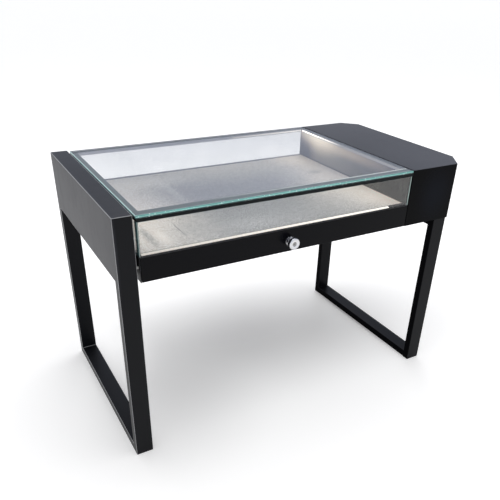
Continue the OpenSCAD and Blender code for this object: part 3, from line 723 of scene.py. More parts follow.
black = {"dust": 0.05, "wear": 0.25, "grain": 0.0011, "bump": 0.12}
satin = {**black, "edgeWidth": 0.0008, "rough": 0.38, "smudge": 0.035, "uneven": 0.08}
gloss = {**black, "dark": (0.0018, 0.0019, 0.003), "light": (0.003, 0.0032, 0.005),
         "worn": (0.05, 0.05, 0.055), "rough": 0.28, "bump": 0.03, "smudge": 0.01,
         "uneven": 0.04}
finishes = {
    # satin black: its light rubbed edges at a share of 0.8 are mostly a painted highlight, and its
    # patch lightens the outer face of the left frame: a painted sheen
    "satin_black": makeCoat("satinBlack", {
        **satin, "dark": (0.0045, 0.005, 0.0066), "light": (0.0065, 0.007, 0.0092),
        "worn": (0.25, 0.26, 0.28), "wear": 0.8, "shine": 0.18, "paintedLightAndMarks": (
            ((-0.6, 0.0, 0.67), (0.01, 9, 0.18), (0.026, 0.027, 0.033), 1.5),)}),
    # the satin black made darker for the right frame, which stands in shade: painted shade; its
    # lighter rubbed edges are partly a painted highlight
    "shadedBlack": makeCoat("shadedBlack", {
        **satin, "dark": (0.0038, 0.0042, 0.0056), "light": (0.0055, 0.006, 0.0078),
        "worn": (0.2, 0.2, 0.21), "wear": 0.6, "shine": 0.13}),
    # light grey on the rounded edges of the left frame: a painted highlight
    "paintedHighlightBlack": makeCoat("paintedHighlightEdge", {
        **black, "dark": (0.24, 0.245, 0.255), "light": (0.6, 0.61, 0.62),
        "worn": (0.7, 0.7, 0.7), "rough": 0.35, "shine": 0.4, "edgeWidth": 0.0006}),
    # gloss black: its patch lightens the front of the cabinet top: a painted sheen
    "gloss_black": makeCoat("glossBlack", {
        **gloss, "shine": 0.15, "paintedLightAndMarks": (
            ((0.5, -0.3, 0.761), (0.35, 0.42, 0.012), (0.03, 0.031, 0.036), 1.0),)}),
    "trayFace": makeCoat("glossBlackTray", {**gloss, "shine": 0.115}),
    # the cabinet walls: the bluish patch at the upper right of the front is a painted reflection
    "cabinetFace": makeCoat("glossBlackWall", {
        **black, "dark": (0.0012, 0.0013, 0.0018), "light": (0.0018, 0.0019, 0.0026),
        "worn": (0.05, 0.05, 0.055), "rough": 0.22, "shine": 0.06, "bump": 0.03,
        "smudge": 0.02, "paintedLightAndMarks": (
            ((0.47, -0.33, 0.67), (0.1, 0.2, 0.13), (0.008, 0.011, 0.02), 0.6),)}),
    # near black for the right frame's inner faces, and for the cabinet's faces and top strip
    # beside the case: painted shadow
    "paintedShadowBlack": makeCoat("paintedShadowBlack", {
        **black, "dark": (0.0015, 0.0016, 0.002), "light": (0.003, 0.003, 0.004),
        "worn": (0.01, 0.01, 0.01), "rough": 0.7, "shine": 0.03}),
    "railFace": makeCoat("borderRailFace", {
        **black, "dark": (0.006, 0.008, 0.0085), "light": (0.01, 0.013, 0.014),
        "worn": (0.2, 0.21, 0.22), "rough": 0.4, "shine": 0.15}),
    "dark_plate": makeCoat("darkPlate", {
        **black, "dark": (0.02, 0.02, 0.022), "light": (0.035, 0.035, 0.037),
        "worn": (0.12, 0.12, 0.12), "rough": 0.55, "shine": 0.3}),
    "black_plastic": makePlastic("blackNylon", {
        "dark": (0.014, 0.014, 0.014), "light": (0.03, 0.03, 0.03), "rough": 0.5}),
    "white_plastic": makePlastic("whiteNylon", {
        "dark": (0.72, 0.72, 0.68), "light": (0.85, 0.85, 0.82), "rough": 0.45}),
    "zinc_fasteners": makeMetal("zincPlate", {
        "dark": (0.42, 0.42, 0.44), "light": (0.66, 0.66, 0.69),
        "stretch": evenly, "rough": 0.22, "roughSpread": 0.2, "bump": 0.1}),
    "driver_case": makeMetal("driverAluminium", {
        "dark": (0.6, 0.61, 0.62), "light": (0.8, 0.81, 0.82),
        "rough": 0.32, "roughSpread": 0.15, "bump": 0.15}),
    "rail_aluminium": makeMetal("satinAnodised", {
        "dark": (0.46, 0.47, 0.52), "light": (0.62, 0.63, 0.68),
        "rough": 0.3, "roughSpread": 0.12, "bump": 0.12}),
    "darkAnodised": makeMetal("darkAnodised", {
        "dark": (0.02, 0.02, 0.021), "light": (0.035, 0.035, 0.037),
        "stretch": alongX, "rough": 0.4, "roughSpread": 0.12, "bump": 0.12}),
    "slide_steel": makeMetal("zincedSlideSteel", {
        "dark": (0.45, 0.46, 0.48), "light": (0.66, 0.67, 0.69), "line": 0.0009,
        "rough": 0.26, "roughSpread": 0.16, "bump": 0.14}),
    "tray_steel": makeMetal("foldedSteel", {
        "dark": (0.34, 0.34, 0.35), "light": (0.52, 0.52, 0.54), "line": 0.001,
        "rough": 0.38, "roughSpread": 0.18, "bump": 0.16}),
    "knob_chrome": makeMetal("polishedChrome", {
        "dark": (0.74, 0.74, 0.75), "light": (0.86, 0.86, 0.88), "line": 0.0012,
        "stretch": evenly, "rough": 0.03, "roughSpread": 0.06, "bump": 0.01,
        "marks": 0.08, "smearSize": 0.01}),
    "key_plug_metal": makeMetal("polishedNickel", {
        "dark": (0.3, 0.3, 0.3), "light": (0.44, 0.44, 0.43), "line": 0.0008,
        "stretch": evenly, "rough": 0.1, "roughSpread": 0.1, "bump": 0.03,
        "marks": 0.08, "smearSize": 0.008}),
}

# Finishes of the deck and the lining

deckLevel, liningFace = 0.65, 0.352
sheetBasis = {"edgeWidth": 0.0008, "wear": 0.6, "dust": 0.12}
# the deck: its glow patches are painted light from the lamp strips; its colour patches are painted
# light and shade (warm lit zones at the left, right, front and rear, a darker centre, light
# streaks at the front left, dark lines in the gaps at the rear and the right), with a seam line at
# x -0.38 and a few small dark spots; its pale cream wipe marks at the front left are painted
# streaks of light
finishes["satin_champagne"] = makeSheet("champagneSheet", {
    **sheetBasis, "dark": (0.19, 0.195, 0.205), "light": (0.24, 0.243, 0.25),
    "mark": (0.88, 0.81, 0.75), "worn": (0.6, 0.58, 0.54), "marks": 0.35, "speckle": 0.5,
    "metal": 0.3, "shine": 0.5, "rough": 0.4, "bump": 0.3, "grain": 0.0032,
    "smearSize": 0.05, "smearAt": (-0.44, -0.16, 0.65), "smearReach": (0.3, 0.3, 1),
    "pools": patchesOn(2, deckLevel, (
        ((0.4, -0.1), (0.32, 0.5), (0.2, 0.178, 0.158), 0.9),
        ((0.36, -0.22), (0.17, 0.2), (0.36, 0.31, 0.265), 0.9),
        ((0.29, 0.27), (0.14, 0.16), (0.24, 0.19, 0.13), 0.9),
    )),
    "paintedLightAndMarks": patchesOn(2, deckLevel, (
        ((-0.53, -0.05), (0.34, 0.95), (0.88, 0.79, 0.705), 0.95),
        ((0.0, -0.42), (1.1, 0.36), (0.46, 0.45, 0.45), 0.8),
        ((0.42, -0.1), (0.42, 0.75), (0.86, 0.798, 0.748), 0.95),
        ((0.05, 0.4), (0.95, 0.36), (0.8, 0.73, 0.62), 0.9),
        ((-0.39, 0.06), (0.1, 0.14), (0.82, 0.8, 0.75), 0.15),
        ((-0.22, 0.06), (0.26, 0.34), (0.17, 0.17, 0.175), 0.35),
        ((-0.28, 0.13), (0.025, 0.2), (0.7, 0.69, 0.67), 0.25),
        ((-0.34, 0.23), (0.24, 0.1), (0.84, 0.79, 0.71), 0.4),
        ((-0.35, -0.19), (0.08, 0.09), (0.25, 0.25, 0.25), 0.4),
        ((-0.17, -0.22), (0.12, 0.07), (0.8, 0.79, 0.78), 0.14),
        ((0.268, 0.095), (0.05, 0.03), (0.2, 0.21, 0.22), 0.7),
        ((-0.38, -0.18), (0.0024, 0.1), (0.06, 0.06, 0.06), 1.0),
        ((-0.475, -0.19), (0.02, 0.12), (0.3, 0.29, 0.27), 0.8),
        ((-0.505, -0.2), (0.014, 0.1), (0.9, 0.86, 0.8), 0.6),
        ((-0.44, -0.21), (0.022, 0.09), (0.96, 0.88, 0.81), 0.5),
        ((-0.1, 0.3195), (9, 0.016), (0.02, 0.02, 0.022), 3.0),
        ((0.35, 0.0), (0.006, 9), (0.05, 0.05, 0.05), 3.0),
    )),
})
# the lining: its glow patches along the top are painted light from the side strip; its colour
# patches are painted light and shade, a light band at the top, darkness towards the front, and
# dark lines in the rear corner and along the foot; its lighter wipe marks towards the front are
# fine scratches with a painted sheen
finishes["lining"] = makeSheet("oliveLining", {
    **sheetBasis, "dark": (0.165, 0.155, 0.105), "light": (0.215, 0.2, 0.14),
    "mark": (0.34, 0.34, 0.3), "worn": (0.4, 0.4, 0.38), "marks": 0.3, "speckle": 0.3,
    "metal": 0.1, "shine": 0.2, "rough": 0.35, "bump": 0.12, "grain": 0.002,
    "smearSize": 0.03, "smearAt": (0.352, -0.24, 0.7), "smearReach": (1, 0.2, 0.1),
    "pools": patchesOn(0, liningFace, (
        ((0.08, 0.73), (0.4, 0.034), (0.34, 0.26, 0.18), 0.9),
        ((0.2, 0.728), (0.17, 0.06), (0.6, 0.49, 0.35), 0.9),
        ((0.22, 0.745), (0.16, 0.045), (1.0, 0.88, 0.68), 1.0),
    )),
    "paintedLightAndMarks": patchesOn(0, liningFace, (
        ((0.2, 0.72), (0.3, 0.12), (0.5, 0.46, 0.38), 0.8),
        ((0.34, 0.68), (0.14, 0.3), (0.02, 0.02, 0.022), 2.0),
        ((-0.36, 0.66), (0.46, 0.34), (0.012, 0.012, 0.008), 1.5),
        ((0.0, 0.65), (3, 0.007), (0.04, 0.04, 0.038), 0.9),
        ((0.325, 0.69), (0.012, 0.2), (0.06, 0.06, 0.06), 0.9),
    )),
})

# Glass, its ground edges and the tape under it: each band is its place and its colour. The edges'
# glowing bands, and the tapes' bright lines and darkest bands, are painted light and shade


# where a node begins and ends along an axis
def spanOf(node, axis):
    return tuple(corner["XYZ".index(axis)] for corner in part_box(node))


finishes["clear_glass"] = makeGlass("clearGlass", {
    "tint": (0.982, 0.984, 0.98), "clear": (0.991, 0.992, 0.99), "smear": 0.012})
# the rear pane is tinted darker than the clear glass, so that what shows through it comes out
# darker: painted shade
finishes["rearGlass"] = makeGlass("rearPaneGlass", {
    "tint": (0.85, 0.86, 0.85), "clear": (0.935, 0.94, 0.93), "smear": 0.05})
topEdge = {"across": "Z", "span": spanOf("glass_top", "Z"), "coat": 0.0}
topSide = {**topEdge, "stretch": (1.0, 0.04, 1.0)}
paneEdge = {"across": "Y", "span": spanOf("front_pane", "Y"), "coat": 0.2}
# the edge finishes glow though they are no lamp: their bright bands are painted highlights, their
# dark bands painted shade
glassEdges = {
    "darkArris": {**topSide, "glow": 0.2, "chips": 0.8, "shine": 0.04, "bands": (
        (0.0, (0.003, 0.004, 0.0045)), (0.7, (0.004, 0.005, 0.0055)),
        (1.0, (0.006, 0.007, 0.008)))},
    "leftArris": {**topSide, "glow": 0.5, "chips": 0.7, "bands": (
        (0.0, (0.012, 0.03, 0.034)), (0.45, (0.06, 0.1, 0.11)), (0.7, (0.34, 0.5, 0.5)),
        (1.0, (0.5, 0.68, 0.68)))},
    "groundSide": {**topSide, "glow": 0.3, "chips": 0.74, "bands": (
        (0.0, (0.012, 0.03, 0.034)), (0.6, (0.035, 0.062, 0.07)), (1.0, (0.07, 0.1, 0.11)))},
    "frontArris": {
        **topEdge, "stretch": (0.04, 1.0, 1.0), "glow": 0.45, "chips": 0.65, "bands": (
            (0.0, (0.002, 0.009, 0.009)), (0.14, (0.004, 0.018, 0.018)),
            (0.26, (0.05, 0.13, 0.125)), (0.42, (0.2, 0.46, 0.43)), (0.6, (0.3, 0.6, 0.56)),
            (0.76, (0.1, 0.31, 0.29)), (1.0, (0.11, 0.34, 0.31)))},
    "paneGlow": {
        **paneEdge, "stretch": (1.0, 1.0, 0.05), "glow": 0.5, "chips": 0.66, "bands": (
            (0.0, (0.36, 0.5, 0.47)), (0.5, (0.42, 0.55, 0.52)), (1.0, (0.2, 0.28, 0.27)))},
    "paneEnd": {
        **paneEdge, "stretch": (1.0, 1.0, 0.04), "glow": 0.4, "chips": 0.74, "bands": (
            (0.0, (0.5, 0.56, 0.55)), (0.24, (0.46, 0.53, 0.52)), (0.36, (0.05, 0.13, 0.12)),
            (0.66, (0.06, 0.17, 0.155)), (0.8, (0.2, 0.36, 0.33)),
            (1.0, (0.26, 0.42, 0.39)))},
}
for name, look in glassEdges.items():
    finishes[name] = makeGlassEdge(name + "Glass", look)
# the bright line colour is a painted highlight along a rail's inner edge; the gap colour and the
# shadow colour are painted shadow
teal, grey, steelGrey = (0.27, 0.33, 0.34), (0.16, 0.19, 0.2), (0.13, 0.15, 0.16)
darkGrey, shadow = (0.075, 0.095, 0.095), (0.02, 0.025, 0.028)
highlightLine, gapShadow = (0.86, 0.89, 0.9), (0.003, 0.003, 0.004)
tapes = {
    "top_front_rail": {"across": "Y", "along": "X", "alongSpan": (-0.35, 0.1), "bands": (
        (0.0, teal), (0.3, teal), (0.36, grey), (1.0, grey)), "farBands": (
        (0.0, teal), (0.3, teal), (0.36, grey), (0.76, grey), (0.87, highlightLine), (1.0, highlightLine))},
    "top_left_rail": {"across": "X", "along": "Y", "alongSpan": (-0.3, 0.3), "bands": (
        (0.0, (0.6, 0.7, 0.7)), (0.18, (0.55, 0.66, 0.66)), (0.28, grey), (1.0, grey)),
        "farBands": (
        (0.0, (0.5, 0.6, 0.6)), (0.18, (0.4, 0.48, 0.49)), (0.28, grey), (1.0, grey))},
    "top_rear_rail": {"across": "Y", "along": "X", "alongSpan": (-0.5, 0.3), "bands": (
        (0.0, darkGrey), (0.55, darkGrey), (0.6, shadow), (0.76, shadow), (0.82, highlightLine),
        (1.0, highlightLine))},
    "top_right_rail": {"across": "X", "along": "Y", "alongSpan": (-0.3, 0.3), "bands": (
        (0.0, steelGrey), (0.4, grey), (0.5, (0.26, 0.3, 0.32)), (0.74, (0.24, 0.28, 0.31)),
        (0.8, gapShadow), (1.0, gapShadow))},
}
for node, look in tapes.items():
    side = node.split("_")[1]
    finishes[side + "Tape"] = makeTape(
        side + "RailTape", {**look, "span": spanOf(node, look["across"])})

# Lenses of the three light bars

lenses = {
    "side_light_lens": {
        "glow": 4.0, "color": (1.0, 0.92, 0.78), "farColor": (1.0, 0.94, 0.86), "along": "Y",
        "dim": 0.05, "bright": 0.2, "least": 0.03, "across": "Z", "middle": 0.7487,
        "half": 0.0018},
    "rear_light_lens": {
        "glow": 1.1, "color": (1.0, 0.95, 0.87), "farColor": (1.0, 0.9, 0.8), "along": "X",
        "dim": 0.04, "bright": 0.28, "least": 0.35, "across": "Z", "middle": 0.7487,
        "half": 0.0019},
    "foot_light_lens": {
        "glow": 0.96, "color": (1.0, 0.94, 0.86), "farColor": (1.0, 0.83, 0.68), "along": "X",
        "dim": -0.5, "bright": 0.12, "least": 0.4, "across": "Y", "middle": -0.287,
        "half": 0.0042},
}
for node, look in lenses.items():
    finishes[node] = makeLens(camelName(node), look)
print("finishes made:", len(finishes))


# a lens has a finish of its own, and any other node its slot's
def finishNameOf(node):
    return node if node in lenses else slotOf[node]


for name, node in nodes.items():
    finish = finishes[finishNameOf(name)]
    if not node.material_slots:
        node.data.materials.append(finish)
    for slot in node.material_slots:
        slot.material = finish

# The leg frames: one block each, opened right through and rounded

# the left frame's rounded edges take a light grey: a painted highlight; the right frame takes a
# darker black, with near black inner faces: painted shade
legFrames = {
    "leftFrame": {
        "legs": ("left_front_leg", "left_rear_leg"), "bars": ("left_foot_bar", "left_side_beam"),
        "edge": 0.0012, "face": "satin_black", "rounding": "paintedHighlightBlack",
        "outside": "satin_black"},
    "rightFrame": {
        "legs": ("right_front_leg", "right_rear_leg"), "bars": ("right_foot_bar", "right_top_bar"),
        "edge": 0.0012, "face": "shadedBlack", "rounding": "shadedBlack",
        "outside": "paintedShadowBlack"},
}


def makeLegFrame(name, settings):
    frontLow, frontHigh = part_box(settings["legs"][0])
    rearLow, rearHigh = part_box(settings["legs"][1])
    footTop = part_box(settings["bars"][0])[1].z
    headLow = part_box(settings["bars"][1])[0].z
    piece = newBlock(name, frontLow, rearHigh)
    openEdit(piece)
    for y in (frontHigh.y, rearLow.y):
        cutAcross((0, y, 0), (0, 1, 0))
    for z in (footTop, headLow):
        cutAcross((0, 0, z), (0, 0, 1))

    def inOpening(face):
        middle = face.calc_center_median()
        return (
            abs(face.normal.x) > squareOn
            and frontHigh.y < middle.y < rearLow.y
            and footTop < middle.z < headLow
        )

    def finishOf(face):
        if max(abs(n) for n in face.normal) < squareOn:
            return 1
        return 2 if face.normal.x < -squareOn else 0

    pick(piece, inOpening)
    bpy.ops.mesh.bridge_edge_loops()
    bpy.ops.mesh.select_all(action="SELECT")
    bpy.ops.mesh.dissolve_limited(angle_limit=radians(1))
    turnOutward()
    closeEdit()
    soften(piece, settings["edge"], 3)
    fit(piece, settings["legs"] + settings["bars"], settings["face"], settings["rounding"],
        settings["outside"])
    paintFaces(piece, finishOf)


for name, settings in legFrames.items():
    makeLegFrame(name, settings)
print("leg frames made")

# The cabinet: a block with its two outer corners cut off, open below, with a sheet wall
# and a narrow painted shadow along the joint beside the case

cabinet = {"front": (0.052, 0.072), "rear": (0.053, 0.050), "wall": 0.0015, "edge": 0.0011,
           "shadowStripWidth": 0.0034, "shadowDepth": 0.002, "shadowFacing": 0.2}


def makeCabinet(settings):
    low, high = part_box("cabinet_wrap")[0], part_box("cabinet_top")[1]
    piece = newBlock("cabinetBody", low, high)
    openEdit(piece)
    cutX, cutY = settings["front"]
    cutAcross((high.x - cutX, low.y, 0), (cutY, -cutX, 0), clearOuter=True)
    cutX, cutY = settings["rear"]
    cutAcross((high.x - cutX, high.y, 0), (cutY, cutX, 0), clearOuter=True)
    deleteFaces(piece, lambda face: face.normal.z < -squareOn)
    turnOutward()
    closeEdit()
    thicken(piece, settings["wall"])
    lineX = low.x + settings["shadowStripWidth"]
    openEdit(piece)
    cutAcross((lineX, 0, 0), (1, 0, 0))
    closeEdit()
    soften(piece, settings["edge"], 3, 25)
    fit(piece, ("cabinet_top", "cabinet_wrap", "cabinet_inner_wall"), "gloss_black",
        "cabinetFace", "paintedShadowBlack")

    # faces that look at the case close by, and a strip of the top along the joint, take the near
    # black: painted shadow
    def finishOf(face):
        onTop = face.normal.z > turnedTo
        facesCase = face.normal.x < -settings["shadowFacing"]
        besideCase = facesCase and face.center.x < low.x + settings["shadowDepth"]
        if besideCase or (onTop and face.center.x < lineX):
            return 2
        return 0 if onTop else 1

    paintFaces(piece, finishOf)


makeCabinet(cabinet)

# The black tray front: a shallow pan, with the hole for the lock barrel

trayFront = {"wall": 0.0015, "edge": 0.0009, "hole": 0.00915, "toolLength": 0.02}
knobLow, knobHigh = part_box("knob_body")
knobX, knobZ = (knobLow.x + knobHigh.x) / 2, (knobLow.z + knobHigh.z) / 2


def makeTrayFront(settings):
    low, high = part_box("tray_front")
    piece = newBlock("trayFront", low, high)
    openEdit(piece)
    deleteFaces(piece, lambda face: face.normal.y > squareOn)
    closeEdit()
    thicken(piece, settings["wall"])
    tool = newRod("barrelHole", (knobX, low.y, knobZ), settings["hole"],
                  settings["toolLength"], "Y")
    carve(piece, tool)
    soften(piece, settings["edge"], 3)
    fit(piece, ("tray_front",), "trayFace")


makeTrayFront(trayFront)
print("cabinet and tray front made")

# Glass panes, with small ground edges. A strip at the front end of the left pane's outer face
# takes the dark edge finish: painted shade

panes = {
    "glass_top": {"across": 2, "edge": 0.0010, "litSide": (0, -1, 0), "farSide": (1, 1, 0),
                  "finishes": ("clear_glass", "frontArris", "leftArris", "darkArris")},
    "left_pane": {"across": 0, "edge": 0.0006, "litSide": (0, -1, 0), "farSide": (0, 1, 0),
                  "finishes": ("clear_glass", "groundSide", "groundSide", "darkArris"),
                  "shadedStrip": 0.008},
    "rear_pane": {"across": 1, "edge": 0.0006, "litSide": (-1, 0, 0), "farSide": (1, 0, 0),
                  "finishes": ("rearGlass", "groundSide", "groundSide", "darkArris")},
    "front_pane": {"across": 1, "edge": 0.0006, "litSide": (-1, 0, 0), "farSide": (1, 0, 0),
                   "finishes": ("clear_glass", "paneEnd", "groundSide", "paneGlow")},
}


def makePane(node, settings):
    low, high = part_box(node)
    piece = newBlock(camelName(node), low, high)
    shadedStripEnd = low.y + settings.get("shadedStrip", 0.0)
    if shadedStripEnd > low.y:
        openEdit(piece)
        cutAcross((0, shadedStripEnd, 0), (0, 1, 0))
        closeEdit()
    soften(piece, settings["edge"])
    fit(piece, (node,), *settings["finishes"])
    litSide, farSide = Vector(settings["litSide"]), Vector(settings["farSide"])

    def finishOf(face):
        # the front strip of the left pane's outer face takes the dark edge finish: painted shade
        if face.normal.x < -squareOn and face.center.y < shadedStripEnd:
            return 2
        if abs(face.normal[settings["across"]]) > squareOn:
            return 0
        if face.normal.dot(litSide) > turnedTo:
            return 1
        return 3 if face.normal.dot(farSide) > turnedTo else 2

    paintFaces(piece, finishOf)


for node, settings in panes.items():
    makePane(node, settings)
print("panes made")

# The deck: a thin board with soft edges

deck = {"edge": 0.0008}


def makeDeck(settings):
    piece = newBlock("displayDeck", *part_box("display_deck"))
    soften(piece, settings["edge"])
    fit(piece, ("display_deck",))


makeDeck(deck)
print("deck made")

# The border rails under the glass top: rounded, with the bonding tape on their top faces

borderRails = {"edge": 0.0006, "skin": 1e-4, "facing": 0.9}


def makeBorderRail(node, settings):
    piece = roundedCopy(camelName(node), node, settings["edge"])
    fit(piece, (node,), "railFace", node.split("_")[1] + "Tape")
    tapeLow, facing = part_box(node)[1].z - settings["skin"], settings["facing"]
    paintFaces(piece, lambda face: int(face.normal.z > facing and face.center.z > tapeLow))


for node in ("top_front_rail", "top_left_rail", "top_rear_rail", "top_right_rail"):
    makeBorderRail(node, borderRails)
print("border rails made")

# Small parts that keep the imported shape: each gets its edges rounded by the width given

smallParts = {
    "case_left_rail": 0.0005, "case_rear_rail": 0.0005, "case_floor": 0.0004,
    "cabinet_floor": 0.0004, "service_cover": 0.0004, "right_liner": 0.0005,
    "pane_channel": 0.0004, "side_light_profile": 0.0004, "rear_light_profile": 0.0004,
    "foot_light_profile": 0.0003, "side_light_lens": 0.0004, "rear_light_lens": 0.0004,
    "foot_light_lens": 0.0004, "leg_glides": 0.0007, "gap_bumpers": 0.0007,
    "frame_sleeves": 0.0003, "rail_studs": 0.0003, "lock_strike": 0.0005, "lock_cam": 0.0003,
    "lock_nut": 0.0003, "terminal_block": 0.0004, "tray_front_member": 0.0005,
    "tray_left_side": 0.0005, "tray_right_side": 0.0005, "tray_rear_member": 0.0005,
    "deck_cross_bars": 0.0005, "left_slide_outer": 0.0003, "left_slide_middle": 0.0003,
    "left_slide_inner": 0.0003, "right_slide_outer": 0.0003, "right_slide_middle": 0.0003,
    "right_slide_inner": 0.0003,
}
ownNames = {"right_liner": "liningPanel"}
ownFinishes = {"right_liner": "lining", "foot_light_profile": "darkAnodised"}

for node, width in smallParts.items():
    piece = roundedCopy(ownNames.get(node, camelName(node)), node, width)
    fit(piece, (node,), ownFinishes.get(node, finishNameOf(node)))
print("small parts made:", len(smallParts))

# Screws and bolts: a recess is cut into every head

fasteners = {
    "cover_screws": {"axis": "Z", "end": -1, "head": 0.003, "deep": 0.0012, "edge": 0.0003,
                     "recess": "cross"},
    "leg_frame_bolts": {"axis": "Z", "end": 1, "head": 0.005, "deep": 0.0024, "edge": 0.0004,
                        "recess": "hexagon"},
    "case_bolts": {"axis": "X", "end": 1, "head": 0.00425, "deep": 0.0016, "edge": 0.0003,
                   "recess": "hexagon"},
}
crossSlots = ((0.6, 0.12), (0.12, 0.6))  # half sizes, as shares of the head's radius
headRim, headShare = 0.0006, 0.7  # a head's flat face fills this share within its rim


# the middles of the separate round heads: the outermost flat faces along the axis
def headPlaces(piece, settings):
    index = "XYZ".index(settings["axis"])
    leastArea = headShare * pi * (settings["head"] - headRim) ** 2
    places = []
    for face in piece.data.polygons:
        if face.normal[index] * settings["end"] > squareOn and face.area > leastArea:
            places.append(face.center.copy())
    return places


def cutRecess(piece, place, settings):
    axis, head, deep = settings["axis"], settings["head"], settings["deep"]
    if settings["recess"] == "hexagon":
        carve(piece, newRod("recess", place, head * 0.5, deep * 2, axis, 6))
        return
    for wide, tall in crossSlots:
        half = Vector((head * wide, head * tall, deep))
        carve(piece, newBlock("recess", place - half, place + half))


for node, settings in fasteners.items():
    piece = roundedCopy(camelName(node), node, settings["edge"])
    places = headPlaces(piece, settings)
    for place in places:
        cutRecess(piece, place, settings)
    fit(piece, (node,))
    print(camelName(node), "heads:", len(places))

# The driver, with cooling grooves along its case, and the inlet with its contact pins

driver = {"grooves": 5, "wide": 0.0016, "deep": 0.0008, "edge": 0.0006}
inlet = {"pins": ((-0.0045, 0.002), (0.0045, 0.002), (0, -0.0035)), "pin": 0.0012,
         "length": 0.012, "wellFloor": 0.004, "edge": 0.0005, "pinEdge": 0.0003}


def makeDriver(settings):
    piece = roundedCopy("driverCase", "led_driver", settings["edge"])
    low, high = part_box("led_driver")
    step = (high.x - low.x) / (settings["grooves"] + 1)
    half = settings["wide"] / 2
    for number in range(settings["grooves"]):
        x = low.x + step * (number + 1)
        start = (x - half, low.y - overshoot, high.z - settings["deep"])
        end = (x + half, high.y + overshoot, high.z + overshoot)
        carve(piece, newBlock("groove", start, end))
    fit(piece, ("led_driver",))


def makeInlet(settings):
    shell = roundedCopy("powerInlet", "power_inlet", settings["edge"])
    low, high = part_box("power_inlet")
    middleX, middleY = (low.x + high.x) / 2, (low.y + high.y) / 2
    middleZ = low.z + settings["wellFloor"] + settings["length"] / 2
    (x, y), *others = settings["pins"]
    centre = (middleX + x, middleY + y, middleZ)
    pin = newRod("contactPins", centre, settings["pin"], settings["length"], "Z", 16)
    soften(pin, settings["pinEdge"])
    pins = [pin] + [copyBy(pin, (otherX - x, otherY - y, 0)) for otherX, otherY in others]
    fit(joinInto("contactPins", pins), (), body="stand", slot="zinc_fasteners")
    fit(shell, ("power_inlet",))


makeDriver(driver)
makeInlet(inlet)
print("fasteners, driver and inlet made")

# The knob: a turned chrome body with flutes round its head

knob = {
    "bore": 0.00605, "head": 0.017, "neck": 0.011, "rosette": 0.013, "barrel": 0.009,
    "flutes": 24, "fluteSides": 6, "fluteDepth": 0.0011, "fluteStart": 0.0021,
    "fluteEnd": 0.0131, "onHead": 0.0006, "smoothBelow": 40,
    "fluteShape": ((1.0, 0), (0.75, 1)),  # share of the depth, sides from the middle
}


def makeKnob(settings):
    front = knobLow.y
    bore, head, neck = settings["bore"], settings["head"], settings["neck"]
    rosette, barrel = settings["rosette"], settings["barrel"]
    end = knobHigh.y - front
    rings = (
        (bore, 0.0008), (bore + 0.0006, 0.0002), (bore + 0.0009, 0), (head - 0.0034, 0),
        (head - 0.0030, 0.0004), (head - 0.0026, 0.0004), (head - 0.0022, 0),
        (head - 0.0012, 0), (head - 0.0005, 0.0003), (head - 0.0001, 0.0009),
        (head, 0.0016), (head, 0.0022), (head, 0.0030), (head, 0.0124), (head, 0.0130),
        (head - 0.0003, 0.0136), (head - 0.0010, 0.0140), (neck + 0.0010, 0.0140),
        (neck + 0.0002, 0.0144), (neck, 0.0152), (neck, 0.0262), (neck + 0.0003, 0.0268),
        (neck + 0.0010, 0.0270), (rosette - 0.0006, 0.0270), (rosette - 0.0002, 0.0272),
        (rosette, 0.0277), (rosette, 0.0300), (barrel, 0.0300), (barrel, end), (bore, end),
        (bore, 0.0008),
    )
    profile = [(radius, front + along) for radius, along in rings]
    sides = settings["flutes"] * settings["fluteSides"]
    piece = turnShape("knobBody", knobX, knobZ, profile, sides, closed=True)
    openEdit(piece, "VERT")
    step = 360 / settings["flutes"]
    for share, number in settings["fluteShape"]:

        def inFlute(point):
            x, z = point.co.x - knobX, point.co.z - knobZ
            angle = degrees(atan2(z, x)) % step
            away = min(angle, step - angle) / (step / settings["fluteSides"])
            along = point.co.y - front
            return (
                settings["fluteStart"] < along < settings["fluteEnd"]
                and abs(Vector((x, z)).length - head) < settings["onHead"]
                and round(away) == number
            )

        pick(piece, inFlute, "verts")
        shrink = (head - settings["fluteDepth"] * share) / head
        bpy.ops.transform.resize(value=(shrink, 1, shrink), center_override=(knobX, 0, knobZ))
    closeEdit()
    focusOn(piece)
    bpy.ops.object.shade_smooth_by_angle(angle=radians(settings["smoothBelow"]))
    fit(piece, ("knob_body",))


makeKnob(knob)

# The key plug, with its keyway and the square tail that drives the cam

plug = {"radius": 0.006, "keyway": (0.0014, 0.007), "keywayDepth": 0.024,
        "ward": (-0.0006, 0.0008), "tail": 0.007, "tailEdge": 0.0003, "cap": 0.005,
        "capEdge": 0.0004, "smoothBelow": 35}


def makePlug(settings):
    low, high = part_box("lock_plug")
    camLow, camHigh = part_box("lock_cam")
    radius, front = settings["radius"], low.y
    rod = turnShape("lockPlug", knobX, knobZ, [
        (radius - 0.0008, front), (radius - 0.0003, front + 0.0001), (radius, front + 0.0006),
        (radius, camLow.y),
    ], 64)
    wide, tall = settings["keyway"]
    wardLow, wardHigh = settings["ward"]
    start, deep = front - overshoot, front + settings["keywayDepth"]
    carve(rod, newBlock("keyway", (knobX - wide / 2, start, knobZ - tall / 2),
                        (knobX + wide / 2, deep, knobZ + tall / 2)))
    carve(rod, newBlock("keywayWard", (knobX - wide * 1.1, start, knobZ + wardLow),
                        (knobX + wide / 2, deep, knobZ + wardHigh)))
    focusOn(rod)
    bpy.ops.object.shade_smooth_by_angle(angle=radians(settings["smoothBelow"]))
    half = settings["tail"] / 2
    tail = newBlock("plugTail", (knobX - half, camLow.y, knobZ - half),
                    (knobX + half, camHigh.y, knobZ + half))
    soften(tail, settings["tailEdge"])
    cap = newRod("plugCap", (knobX, (camHigh.y + high.y) / 2, knobZ), settings["cap"],
                 high.y - camHigh.y, "Y")
    soften(cap, settings["capEdge"])
    fit(joinInto("lockPlug", [rod, tail, cap]), ("lock_plug",))


makePlug(plug)
print("knob and key plug made")

